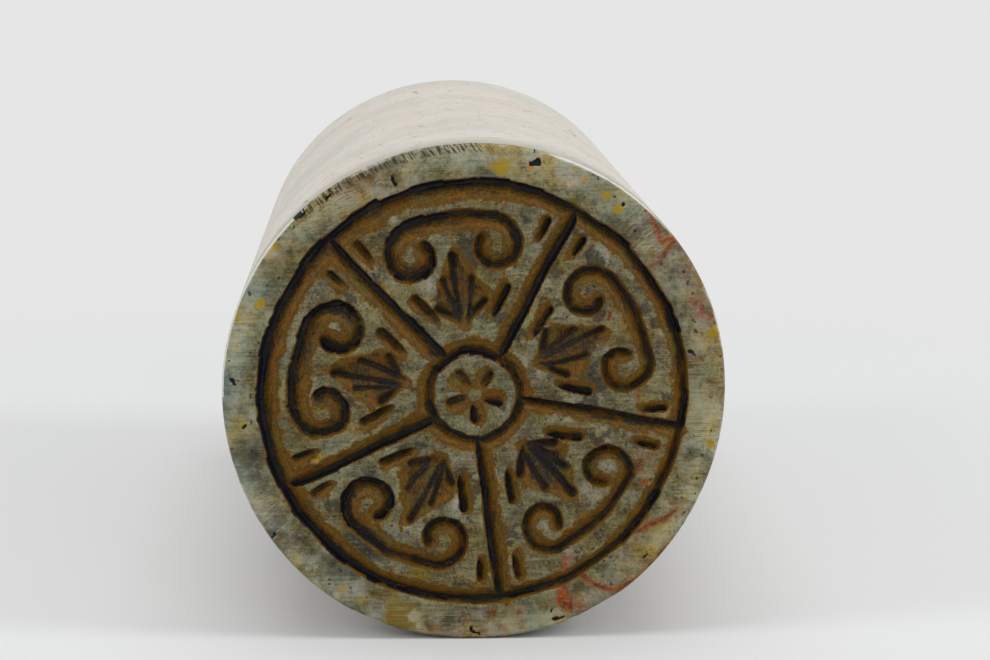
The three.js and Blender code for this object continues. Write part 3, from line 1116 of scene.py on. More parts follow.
@dataclass(frozen=True)
class SoapstoneFinish:
    """The stone: mottled, grey-green to tan on the face, paler along the body, and stained in the cuts.

    The colours come first, and those from handled to blued tint what is under them.

    Args:
        roughness: how rough the smoothest of it is.
        specular: the strength of its gloss.
        tick_lean: how far the file marks across the edge lean from level, anticlockwise.
        scratch_lean: how far the long scratches on the rim lean.
        hatch_lean: how far the short dark ones lean.
    """

    light: Colour = (0.266, 0.245, 0.134)
    middle: Colour = (0.128, 0.118, 0.07)
    dark: Colour = (0.05, 0.046, 0.031)
    olive: Colour = (0.118, 0.098, 0.034)
    cool: Colour = (0.2, 0.222, 0.178)
    straw: Colour = (0.24, 0.168, 0.03)
    tan: Colour = (0.275, 0.203, 0.07)
    deep: Colour = (0.06, 0.06, 0.038)
    rosy: Colour = (0.23, 0.168, 0.125)
    blush: Colour = (0.175, 0.085, 0.04)
    stain: Colour = (0.085, 0.05, 0.01)
    gold: Colour = (0.215, 0.115, 0.006)
    crystal: Colour = (0.37, 0.355, 0.235)
    # worn_edge_and_highlight: a faintly pale worn edge, painted near-white as a highlight where light catches it
    worn_edge_and_highlight: Colour = (0.72, 0.72, 0.66)
    body: Colour = (0.585, 0.54, 0.465)
    body_grey: Colour = (0.46, 0.455, 0.4)
    body_blush: Colour = (0.565, 0.475, 0.405)
    ochre: Colour = (0.3, 0.195, 0.005)
    mossy: Colour = (0.15, 0.104, 0.007)
    orange: Colour = (0.46, 0.13, 0.02)
    russet: Colour = (0.105, 0.018, 0.006)
    vein_red: Colour = (0.23, 0.04, 0.008)
    soot: Colour = (0.02, 0.021, 0.018)
    cream: Colour = (0.32, 0.29, 0.18)
    amber: Colour = (0.142, 0.064, 0.001)
    rust: Colour = (0.145, 0.046, 0.006)
    moss: Colour = (0.115, 0.085, 0.014)
    brown: Colour = (0.086, 0.042, 0.002)
    umber: Colour = (0.0235, 0.019, 0.0155)
    black: Colour = (0.006, 0.006, 0.009)
    handled: Colour = (0.83, 0.82, 0.71)
    shaded: Colour = (0.5, 0.48, 0.42)
    steeped: Colour = (1.0, 0.83, 0.25)
    yellowed: Colour = (1.0, 0.84, 0.46)
    blued: Colour = (0.8, 0.93, 1.0)
    # painted_glint: the pale colour of painted glints of light
    painted_glint: Colour = (0.6, 0.6, 0.52)
    roughness: float = 0.36
    specular: float = 0.12
    tick_lean: float = math.radians(125)
    scratch_lean: float = math.radians(38)
    hatch_lean: float = math.radians(20)

    def body_colour(self, graph: Graph) -> Value:
        """The colour along the body, away from the carved face.

        Args:
            graph: the material's nodes.

        Returns:
            The colour.
        """
        cloud = graph.noise(size=8.0, detail=5, rough=0.58, warp=0.3)
        blush = graph.noise(size=10.0, detail=4, warp=0.5, shift=(31, 7, 3))
        fleck = graph.noise(size=1.3, detail=5, rough=0.62, shift=(5, 19, 8))
        seam = graph.seams(spacing=19.0, bend=7.0, shift=(2, 2, 40))
        shown = graph.noise(size=7.0, detail=4, rough=0.6, shift=(9, 1, 27)).step(0.5, 0.6)
        return graph.paint(
            self.body,
            Coat(cloud.step(0.42, 0.64), 0.8, self.body_grey),
            Coat(blush.step(0.5, 0.68), 0.75, self.body_blush),
            Coat(fleck.step(0.55, 0.7), 0.4, self.light),
            Coat(fleck.step(0.42, 0.3), 0.35, self.tan),
            Coat((seam + (fleck - 0.5) * 0.02).step(0.05, 0.0) * shown, 0.3, self.body_blush),
            Coat((seam + (fleck - 0.5) * 0.016).step(0.009, 0.002) * shown, 0.6, self.russet),
        )

    def face_colour(self, graph: Graph) -> Value:
        """The colour of the bare stone on the carved face, which is darker and yellower towards the carving.

        Args:
            graph: the material's nodes.

        Returns:
            The colour.
        """
        broad = graph.noise(size=4.6, detail=4, warp=0.5)
        cloudy = graph.noise(size=1.6, detail=5, rough=0.68, warp=0.5, shift=(9, 4, 17))
        grain = graph.noise(size=0.26, rough=0.8, warp=0.2, shift=(3, 8, 29))
        dim = graph.noise(size=2.2, detail=5, rough=0.68, warp=0.6, shift=(21, 14, 6))
        straw = graph.noise(size=2.6, detail=5, rough=0.66, warp=0.4, shift=(41, 6, 23))
        rusty = graph.noise(size=1.9, detail=5, rough=0.7, shift=(12, 30, 9))
        mottle = graph.noise(size=0.9, detail=4, rough=0.7, shift=(32, 11, 2))
        brushed = graph.noise(size=0.6, rough=0.6, place=graph.object_place((0.3, 1.0, 3.4)))
        crystal = graph.noise(size=0.26, detail=4, rough=0.8, shift=(13, 21, 5))
        shade = graph.noise(size=3.2, detail=5, rough=0.62, warp=0.3, shift=(8, 52, 4))
        tinge = graph.noise(size=2.6, detail=6, rough=0.7, warp=0.3, shift=(52, 8, 14))
        crumbs = graph.specks(spacing=0.7, radius=0.14, share=0.36)
        stray = graph.specks(spacing=1.5, radius=0.16, share=0.45, shift=(5, 5, 5))
        field_share = graph.attribute("field")
        near_field = (field_share + (cloudy - 0.5) * 1.6).step(0.0, 0.74)
        outer = 1.0 - graph.attribute("inner") * 0.45
        fine = field_share * 0.12 + 0.9 - graph.attribute(Tint.COOL.value) * (1.0 - field_share) * 0.35
        warm = graph.attribute(Tint.WARM.value) * 0.9 + (dim - 0.5) * 1.4
        cool = graph.attribute(Tint.COOL.value) * 0.9 + (broad - 0.5) * 1.6
        rosy = graph.attribute(Tint.ROSY.value) + (dim - 0.5) * 1.6
        # Some PALE and DEEP washes make the face paler at the top and darker at the lower left: partly painted
        # light and shade, partly the stone's own tone
        pale = graph.attribute(Tint.PALE.value) + (cloudy - 0.5) * 1.2
        deep = graph.attribute(Tint.DEEP.value) * cloudy.step(0.66, 0.42)
        return graph.paint(
            self.middle,
            Coat(((cloudy - 0.5) * fine + 0.52).step(0.42, 0.6), 1.0, self.light),
            Coat(warm.step(0.1, 0.75), 0.8, self.tan),
            Coat(cool.step(0.05, 0.75), 0.85, self.cool),
            Coat(rosy.step(0.2, 0.7), 0.7, self.rosy),
            Coat(pale.step(0.2, 0.9), 0.8, self.crystal),
            Coat(deep, 0.75, self.deep),
            Coat(straw.step(0.54, 0.62), 0.6, self.straw),
            Coat(straw.step(0.45, 0.37), 0.5, self.cool),
            Coat(near_field, 0.3, self.olive),
            Coat(dim.step(0.5, 0.64) * fine, 0.66, self.dark),
            Coat(rusty.step(0.57, 0.65) * fine, 0.5, self.brown),
            Coat((mottle + near_field * 0.05).step(0.54, 0.62) * fine, 0.55, self.stain),
            Coat(mottle.step(0.45, 0.36), 0.65, self.light),
            Coat(brushed.step(0.53, 0.62), 0.32, self.dark),
            Coat(brushed.step(0.47, 0.38), 0.2, self.crystal),
            Coat(grain.step(0.5, 0.4) * fine, 0.5, self.dark),
            Coat(crystal.step(0.52, 0.68) * fine, 0.5, self.crystal),
            Coat(crumbs, 0.85, self.umber),
            Coat(stray, 0.75, self.amber),
            Coat(shade.step(0.49, 0.36) * outer, 1.0, self.shaded, Blend.TINT),
            Coat(shade.step(0.51, 0.64) * outer, 0.5, self.crystal),
            Coat(tinge.step(0.49, 0.4) * outer, 1.0, self.yellowed, Blend.TINT),
            Coat(tinge.step(0.51, 0.6) * outer, 1.0, self.blued, Blend.TINT),
            Coat(near_field, 0.85, self.handled, Blend.TINT),
        )

    def marks(self, graph: Graph, colour: Value) -> Value:
        """The natural spots and veins over a colour.

        Args:
            graph: the material's nodes.
            colour: the colour without them.

        Returns:
            The colour with them.
        """
        ragged = graph.noise(size=0.7, detail=4, rough=0.6, shift=(4, 15, 11)) - 0.5
        grain = graph.noise(size=0.2, detail=2, rough=0.6, shift=(14, 5, 1)) - 0.5
        thin = graph.noise(size=1.1, detail=5, rough=0.66, shift=(24, 3, 31))
        reds = graph.paint(
            self.russet,
            Coat((thin + ragged * 0.8).step(0.44, 0.54), 1.0, self.vein_red),
            Coat((grain + ragged * 0.8).step(0.06, 0.15), 0.6, self.gold),
        )
        halo = graph.blend((thin - ragged * 0.8).step(0.5, 0.56), self.blush, self.gold)
        kinds = (
            (Mark.SOOT, self.soot, 0.85, 0.6),
            (Mark.MOSSY, self.mossy, 0.95, 0.35),
            (Mark.OCHRE, self.ochre, 1.0, 0.14),
            (Mark.RUSSET, reds, 0.95, 0.3),
            (Mark.CREAM, self.cream, 0.8, 0.12),
            (Mark.ORANGE, self.orange, 1.0, 0.06),
        )
        coats = []
        for kind, paint, strength, softness in kinds:
            edge = graph.attribute(kind.value) + ragged * 0.6 + grain * 0.5
            worn = thin.step(0.3, 0.52) * 0.4 + (strength - 0.4)
            coats.append(Coat(edge.step(softness, -softness) * worn, 1.0, paint))
        vein = graph.attribute("vein") + ragged * 0.16 + (thin - 0.5) * 0.4
        whole = 0.75 + thin.step(0.35, 0.55) * 0.25
        coats += [Coat(vein.step(0.45, 0.0), 0.5, halo), Coat(vein.step(0.13, -0.03) * whole, 1.0, reds)]
        return graph.paint(colour, *coats)

    def carved_colour(self, graph: Graph, colour: Value) -> Value:
        """The stains that the paste left in and beside the cuts.

        Args:
            graph: the material's nodes.
            colour: the bare stone's colour.

        Returns:
            The colour with the stains.
        """
        ragged = graph.noise(size=0.45, detail=4, rough=0.76, shift=(1, 6, 2)) - 0.5
        patchy = graph.noise(size=2.2, detail=5, rough=0.66, shift=(17, 3, 9))
        stained = graph.noise(size=1.3, detail=5, rough=0.7, shift=(31, 5, 2))
        mossy = graph.noise(size=2.6, detail=4, rough=0.6, shift=(44, 13, 7))
        clean = graph.noise(size=3.4, detail=4, rough=0.66, shift=(3, 33, 21))
        crumbs = graph.noise(size=0.2, detail=2, rough=0.8, shift=(2, 26, 4))
        # Tiny pale specks in the carved field are painted glints of light
        painted_glints = graph.specks(spacing=2.1, radius=0.07, share=0.22, shift=(6, 1, 18))
        streaks = self.streaks(graph) - 0.5
        inner = graph.attribute("inner")
        grime = graph.attribute("grime")

        darker = patchy * 0.6 + stained * 0.4 + ragged * 0.6
        fringe = graph.paint(
            self.stain,
            Coat(patchy.step(0.42, 0.54), 1.0, self.amber),
            Coat(darker.step(0.49, 0.56), 0.75, self.brown),
            Coat(darker.step(0.45, 0.4), 0.5, self.rust),
        )
        tone = patchy * 0.6 + stained * 0.4 + streaks * 0.6 + ragged * 0.3
        walls = graph.paint(
            self.brown,
            Coat(tone.step(0.45, 0.54), 1.0, self.amber),
            Coat(tone.step(0.47, 0.38), 0.8, self.umber),
            Coat(tone.step(0.57, 0.66), 0.7, self.gold),
            Coat(stained.step(0.53, 0.6), 0.75, self.rust),
            Coat(mossy.step(0.55, 0.63), 0.7, self.moss),
        )

        signed = grime - graph.attribute("land") * 0.9
        beside = (signed + ragged * 0.4 + (stained - 0.5) * 1.7).step(-0.18, -0.04)
        edged = beside * (1.0 - beside) * 4.0 * stained.step(0.44, 0.52)
        close = (signed + ragged * 0.35 + (patchy - 0.5) * 1.3).step(-0.16, 0.02)
        depth = signed + ragged * 0.45 + streaks * 0.6 * grime.step(0.0, 0.15)
        worn = (clean + (ragged - depth) * 0.14).step(0.58, 0.63) * 0.36
        # The black line along the foot of each steep wall and up it is partly dried paste residue and partly
        # painted shade in the groove
        soot_and_shade = graph.attribute("soot_and_shade_line") + (patchy - 0.5) * 1.2 + ragged * 0.5
        return graph.paint(
            colour,
            Coat(inner * stained.step(0.58, 0.64), 0.6, self.amber),
            Coat(inner * patchy.step(0.55, 0.61), 0.75, self.umber),
            Coat(beside, 0.88, fringe),
            Coat(beside, 1.0, self.steeped, Blend.TINT),
            Coat(edged, 0.6, self.gold),
            Coat(close, 0.8, self.brown),
            Coat(depth.step(0.0, 0.12) * (0.97 - worn), 1.0, walls),
            Coat((depth + (patchy - 0.5) * 1.9 + streaks * 0.5).step(0.36, 0.62), 0.96, self.umber),
            Coat(crumbs.step(0.54, 0.66) * inner, 0.5, self.olive),
            Coat(crumbs.step(0.46, 0.36) * inner, 0.6, self.umber),
            Coat(soot_and_shade.step(0.43, 0.53), 0.97, self.black),
            # Painted glints of light, as tiny pale specks
            Coat(painted_glints * inner, 0.8, self.painted_glint),
        )

    def streaks(self, graph: Graph) -> Value:
        """The fine lines that the graver's edge left along each stroke, from about 0.3 to 0.7."""
        stretched = {0: graph.attribute("across") * 7.0, 1: graph.attribute("along") * 0.7}
        return graph.noise(size=1.0, rough=0.6, place=graph.add("ShaderNodeCombineXYZ", None, stretched))

    def material(self) -> bpy.types.Material:
        """Build the stone's material.

        Returns:
            The material, which reads the attributes that StoneModel writes.
        """
        graph = Graph(bpy.data.materials.new("soapstone"))
        away = graph.attribute("away")
        grime = graph.attribute("grime")
        edge = graph.attribute("edge")
        wander = graph.noise(size=2.4, detail=5, rough=0.62, shift=(7, 7, 7))
        pits = graph.noise(size=0.62, detail=2, rough=0.5, shift=(23, 1, 6)).step(0.695, 0.74)
        near_face = away.step(1.0, 0.2)
        scuffs = self.scuffs(graph) * near_face
        scratches = self.scratches(graph) * near_face
        slanting = graph.attribute(Tint.SCRATCHED.value) * near_face
        rising = self.lines(graph, self.scratch_lean, length=2.6, width=0.11).step(0.6, 0.64)
        hatching = self.lines(graph, self.hatch_lean, length=1.1, width=0.13).step(0.57, 0.62)
        ticks = self.ticks(graph)

        dimmed = Coat((away + (wander - 0.5) * 9.0).step(9.0, 0.0), 0.42, self.middle)
        side = graph.paint(self.body_colour(graph), dimmed)
        bare = graph.paint(
            self.marks(graph, self.face_colour(graph)),
            Coat((away + (wander - 0.5) * 2.4).step(0.0, 0.9), 1.0, side),
            Coat(pits, 0.8, self.umber),
            Coat(scuffs, 0.6, self.brown),
            Coat(scratches, 0.26, self.crystal),
            Coat(rising * slanting, 0.7, self.crystal),
            Coat(hatching * slanting, 0.7, self.rust),
            Coat(ticks, 0.85, self.umber),
            # Painted highlight: the face's edge is painted near-white, brightest at the top right and upper left
            # where light from above catches it, over faint pale wear all round
            Coat(edge * (wander + (edge - 0.6) * 0.3).step(0.42, 0.5), 0.8, self.worn_edge_and_highlight),
        )
        colour = self.carved_colour(graph, bare)
        cut_lines = self.streaks(graph) * grime.step(0.05, 0.4) * 0.07
        height = self.grain(graph) + cut_lines - pits * 0.05 - (scuffs + scratches) * 0.02 - ticks * 0.05
        rough = self.roughness + wander * 0.14 + pits * 0.2
        rough = rough + grime.step(0.1, 0.5) * 0.08 - away.step(1.0, 6.0) * 0.1
        return graph.finish(graph.surface(colour, rough, height, self.specular))

    def grain(self, graph: Graph) -> Value:
        """Work out the height of the stone's fine grain.

        Args:
            graph: the material's nodes.

        Returns:
            The height, in millimetres.
        """
        fine = graph.noise(size=0.22, rough=0.6, shift=(8, 8, 1))
        soft = graph.noise(size=1.1, shift=(2, 9, 9))
        return fine * 0.026 + soft * 0.02

    def scuffs(self, graph: Graph) -> Value:
        """Fine level scratches where the tint attribute says that the rim is scuffed."""
        lines = graph.noise(size=1.0, detail=2, rough=0.5, place=graph.object_place((0.35, 1.0, 7.5)))
        return lines.step(0.6, 0.68) * graph.attribute(Tint.SCUFFED.value)

    def scratches(self, graph: Graph) -> Value:
        """Find where fine pale level scratches lie, in patches all over the face.

        Args:
            graph: the material's nodes.

        Returns:
            1 in a scratch and 0 outside it.
        """
        patches = graph.noise(size=3.0, detail=2, rough=0.5, shift=(3, 44, 12)).step(0.48, 0.62)
        drawn = graph.noise(size=1.0, detail=2, rough=0.6, place=graph.object_place((0.3, 1.0, 7.0)))
        return drawn.step(0.52, 0.66) * patches

    def lines(self, graph: Graph, lean: float, length: float, width: float) -> Value:
        """Noise that is drawn out into slanting lines.

        Args:
            graph: the material's nodes.
            lean: how far the lines lean from level, anticlockwise.
            length: about how long they are, in millimetres.
            width: about how wide they are.

        Returns:
            The noise, from about 0.3 to 0.7.
        """
        x, y, z = graph.parts(graph.object_place())
        along = x * math.cos(lean) + z * math.sin(lean)
        across = z * math.cos(lean) - x * math.sin(lean)
        inputs = {0: along * (1 / length), 1: y, 2: across * (1 / width)}
        drawn = graph.add("ShaderNodeCombineXYZ", None, inputs)
        return graph.noise(size=1.0, detail=2, rough=0.5, place=drawn)

    def ticks(self, graph: Graph) -> Value:
        """A row of short file marks across the edge, where the attribute says."""
        drawn = self.lines(graph, self.tick_lean, length=1.25, width=0.13)
        return drawn.step(0.5, 0.57) * graph.attribute("ticks")


@dataclass(frozen=True)
class PasteFinish:
    """Dried seal paste: nearly black, with brown patches and a few orange crumbs."""

    black: Colour = (0.006, 0.007, 0.01)
    brown: Colour = (0.03, 0.015, 0.007)
    crumb: Colour = (0.42, 0.11, 0.018)
    roughness: float = 0.5
    specular: float = 0.18

    def material(self) -> bpy.types.Material:
        """Build the paste's material.

        Returns:
            The material.
        """
        graph = Graph(bpy.data.materials.new("dried_paste"))
        patchy = graph.noise(size=1.4, detail=4, rough=0.6)
        fine = graph.noise(size=0.3, detail=4, rough=0.65, shift=(6, 2, 12))
        region = graph.noise(size=3.2, detail=2, rough=0.5, shift=(40, 2, 3)).step(0.56, 0.64)
        colour = graph.paint(
            self.black,
            Coat(patchy.step(0.45, 0.68), 0.8, self.brown),
            Coat(fine.step(0.63, 0.7) * region, 1.0, self.crumb),
        )
        height = fine * 0.05 + patchy * 0.06
        rough = self.roughness + fine.step(0.3, 0.7) * 0.3
        return graph.finish(graph.surface(colour, rough, height, self.specular))


def select_only(piece: bpy.types.Object) -> None:
    """Deselect everything, then make one object the selected and active one.

    Args:
        piece: that object.
    """
    if bpy.context.object and bpy.context.object.mode != "OBJECT":
        bpy.ops.object.mode_set(mode="OBJECT")
    bpy.ops.object.select_all(action="DESELECT")
    piece.select_set(True)
    bpy.context.view_layer.objects.active = piece


def points_of(mesh: bpy.types.Mesh) -> Array:
    """Read the places of a mesh's points.

    Args:
        mesh: the mesh.

    Returns:
        The places, one row each.
    """
    flat = np.empty(len(mesh.vertices) * 3, np.float64)
    mesh.vertices.foreach_get("co", flat)
    return flat.reshape(-1, 3)


def move_points(mesh: bpy.types.Mesh, places: Array) -> None:
    """Put a mesh's points at the given places."""
    mesh.vertices.foreach_set("co", places.ravel())
    mesh.update()


def store(mesh: bpy.types.Mesh, name: str, values: Array) -> None:
    """Keep a number at each of a mesh's points, under a name that a material reads."""
    attribute = mesh.attributes.new(name, "FLOAT", "POINT")
    attribute.data.foreach_set("value", values.astype(np.float32))


@dataclass
class FaceGrid:
    """A fine grid of points over the face, and what the carving does at each of them. Millimetres.

    Args:
        cuts: the graver's cuts and the nicks.
        outline: the stone's outline.
        edge_bevel: how far inside the outline the flat of the face ends.
        cells: how many cells there are across the face.
        clear_land: the distance from a cut where none is near.
        bends: how the pattern is bent, as in the function bent.
        centre_weight: how much a point counts beside each of its four neighbours, where cuts are softened.
        hills: how uneven the face is, as in the function hilly, about its sink behind the stone's front.
        fill_depth: how deep the paste's surface lies in the ring and the dividers.
        fill_sink: how far the back of the paste lies inside the stone.
    """

    cuts: list[Cut]
    outline: "StoneOutline"
    edge_bevel: float = 0.16
    cells: int = 268
    clear_land: float = 3.0
    cut_reach: float = 4.2
    bends: Bends = ((0.05, 1.9, 3, 5), (0.025, 0.6, 4, 6))
    centre_weight: float = 5.0
    sink: float = 0.02
    hills: Hills = ((0.012, 3.1, 7), (0.01, 1.1, 8))
    fill_depth: float = 0.86
    cloud_fill_depth: float = 0.9
    bud_fill_depth: float = 0.88
    fill_hills: Hills = ((0.119, 2.7, 21), (0.085, 1.0, 22), (0.012, 0.3, 23))
    fill_sink: float = 0.03
    least_fill: float = 0.015

    def add_plane(self, name: str) -> bpy.types.Object:
        """Add a square grid that faces +Z, two units wide, ready to be shaped.

        Args:
            name: the new object's name.

        Returns:
            The object.
        """
        bpy.ops.object.select_all(action="DESELECT")
        bpy.ops.mesh.primitive_grid_add(x_subdivisions=self.cells, y_subdivisions=self.cells, size=2.0)
        plane = bpy.context.object
        plane.name = plane.data.name = name
        return plane

    def spread(self, plane: bpy.types.Object) -> Array:
        """The place on the face of each point of the square grid.

        Args:
            plane: the square grid, two units wide.

        Returns:
            A row of u and v for each point: each square ring of the grid becomes a round one.
        """
        x, y = points_of(plane.data)[:, :2].T
        wide = np.abs(x) > np.abs(y)
        share = np.where(wide, x, y)
        across = np.where(wide, y, x) / np.where(share == 0, 1.0, share)
        angle = np.where(wide, math.pi / 4 * across, QUARTER_TURN - math.pi / 4 * across)
        angle = np.where(share < 0, angle + math.pi, angle)
        reach = self.outline.radius(angle) - self.edge_bevel
        return polar(np.abs(share) * reach, angle)

    def carve(self, u: Array, v: Array) -> None:
        """Work out what the carving does at each point, and keep it on this object.

        Args:
            u: the points' places to the right.
            v: their places upwards.
        """
        bent_u, bent_v = bent(u, v, self.bends)
        self.depth, self.grime, self.soot_and_shade_line = (np.zeros_like(u) for _ in range(3))
        self.along, self.across = u.copy(), v.copy()
        self.land = np.full_like(u, self.clear_land)
        self.deposit = np.zeros(u.shape, int)
        for cut in self.cuts:
            middle_u, middle_v = cut.middle
            places = np.flatnonzero(np.hypot(bent_u - middle_u, bent_v - middle_v) < self.cut_reach)
            trace = cut.trace(bent_u[places], bent_v[places])
            depth = trace.level * cut.depth
            deeper = depth > self.depth[places]
            changed = places[deeper]
            self.depth[changed] = depth[deeper]
            self.deposit[changed] = cut.deposit
            self.along[changed] = trace.along[deeper]
            self.across[changed] = trace.across[deeper]
            # Black at the foot of the steep wall: paste residue and painted shade
            self.soot_and_shade_line[changed] = (trace.foot * cut.soot)[deeper]
            self.grime[places] = np.maximum(self.grime[places], trace.level * cut.stain)
            self.land[places] = np.minimum(self.land[places], trace.gap)
        self.depth = self.soften(self.depth) + self.sink + hilly(u, v, self.hills)
        self.grime = self.soften(self.grime)
        self.soot_and_shade_line = self.soften(self.soot_and_shade_line)

    def soften(self, values: Array) -> Array:
        """Average each point of the grid a little with its neighbours, which rounds the edges of the cuts.

        Args:
            values: a number for each point of the grid.

        Returns:
            The softened numbers.
        """
        side = self.cells + 1
        table = np.pad(values.reshape(side, side), 1, mode="edge")
        near = table[:-2, 1:-1] + table[2:, 1:-1] + table[1:-1, :-2] + table[1:-1, 2:]
        return ((near + self.centre_weight * table[1:-1, 1:-1]) / (4 + self.centre_weight)).ravel()

    def fill_levels(self, u: Array, v: Array) -> Array:
        """How deep below the face the dried paste's surface lies.

        Args:
            u: the points' places to the right.
            v: their places upwards.

        Returns:
            The depth at each point. The ring and the dividers are the fullest.
        """
        base = np.where(self.deposit >= Deposit.CLOUD, self.cloud_fill_depth, self.fill_depth)
        base = np.where(self.deposit >= Deposit.BUD, self.bud_fill_depth, base)
        return base + hilly(u, v, self.fill_hills)

    def filled_cells(self, levels: Array) -> Array:
        """Which deposit each cell of the grid belongs to, or none where the stone stands above the paste.

        Args:
            levels: the paste's depth at each point.

        Returns:
            A square table of deposits. No two cells of it meet at a corner alone.
        """
        side = self.cells + 1
        meant = (self.deposit > Deposit.NONE) & (self.deposit < Deposit.CLEAN)
        wet = meant & (self.depth - levels > self.least_fill)
        depth = np.where(wet, self.depth, -1.0).reshape(side, side)
        owner = self.deposit.reshape(side, side)
        corners = [(slice(a, side - 1 + a), slice(b, side - 1 + b)) for a in (0, 1) for b in (0, 1)]
        depths = np.stack([depth[corner] for corner in corners])
        owners = np.stack([owner[corner] for corner in corners])
        deepest = depths.argmax(0)
        cells = np.take_along_axis(owners, deepest[None], 0)[0]
        cells[depths.max(0) < 0] = Deposit.NONE
        while True:
            a, b, c, d = cells[:-1, :-1], cells[:-1, 1:], cells[1:, :-1], cells[1:, 1:]
            falling = (a > 0) & (d > 0) & (b == 0) & (c == 0)
            rising = (b > 0) & (c > 0) & (a == 0) & (d == 0)
            if not (falling.any() or rising.any()):
                return cells
            b[falling] = a[falling]
            a[rising] = b[rising]


@dataclass
class StoneOutline:
    """The stone's outline: a little oval and three-sided, with faint flats from grinding and one to rest on.

    Args:
        radius_mm: its mean radius, in millimetres.
        axis_height: how high the axis lies above the resting flat, in millimetres.
        oval: how far it bulges at two sides, and three_sided at three, in millimetres.
        rest_spread: how far round from the bottom the stone is worn towards the flat.
        flat_facing: how far round a ground flat reaches, as the least cosine from its middle.
        flat_rounding: how soft its edges are, in millimetres.
    """

    radius_mm: float
    axis_height: float
    oval: float = 0.07
    oval_lean: float = math.radians(64)
    three_sided: float = 0.1
    three_sided_lean: float = math.radians(32)
    rest_spread: float = math.radians(48)
    flats: tuple[GroundFlat, ...] = GROUND_FLATS
    flat_facing: float = 0.5
    flat_rounding: float = 0.05

    def radius(self, angle: Array) -> Array:
        """Work out the radius.

        Args:
            angle: some angles from the right, anticlockwise.

        Returns:
            The radius at each of them, in millimetres.
        """
        reach = self.radius_mm + self.oval * np.cos(2 * (angle - self.oval_lean))
        reach = reach + self.three_sided * np.cos(3 * (angle - self.three_sided_lean))
        for flat in self.flats:
            facing = np.cos(angle - math.radians(flat.angle)).clip(self.flat_facing)
            over = reach - (self.radius_mm - flat.depth) / facing
            reach = reach - 0.5 * (over + np.hypot(over, self.flat_rounding)).clip(0.0)
        below = -np.sin(angle)
        rest = self.axis_height / below.clip(0.05)
        off = np.arccos(below.clip(-1.0, 1.0))
        worn = self.axis_height + (reach - self.axis_height) * smooth(off, 0.0, self.rest_spread)
        return np.minimum(np.minimum(reach, rest), worn)


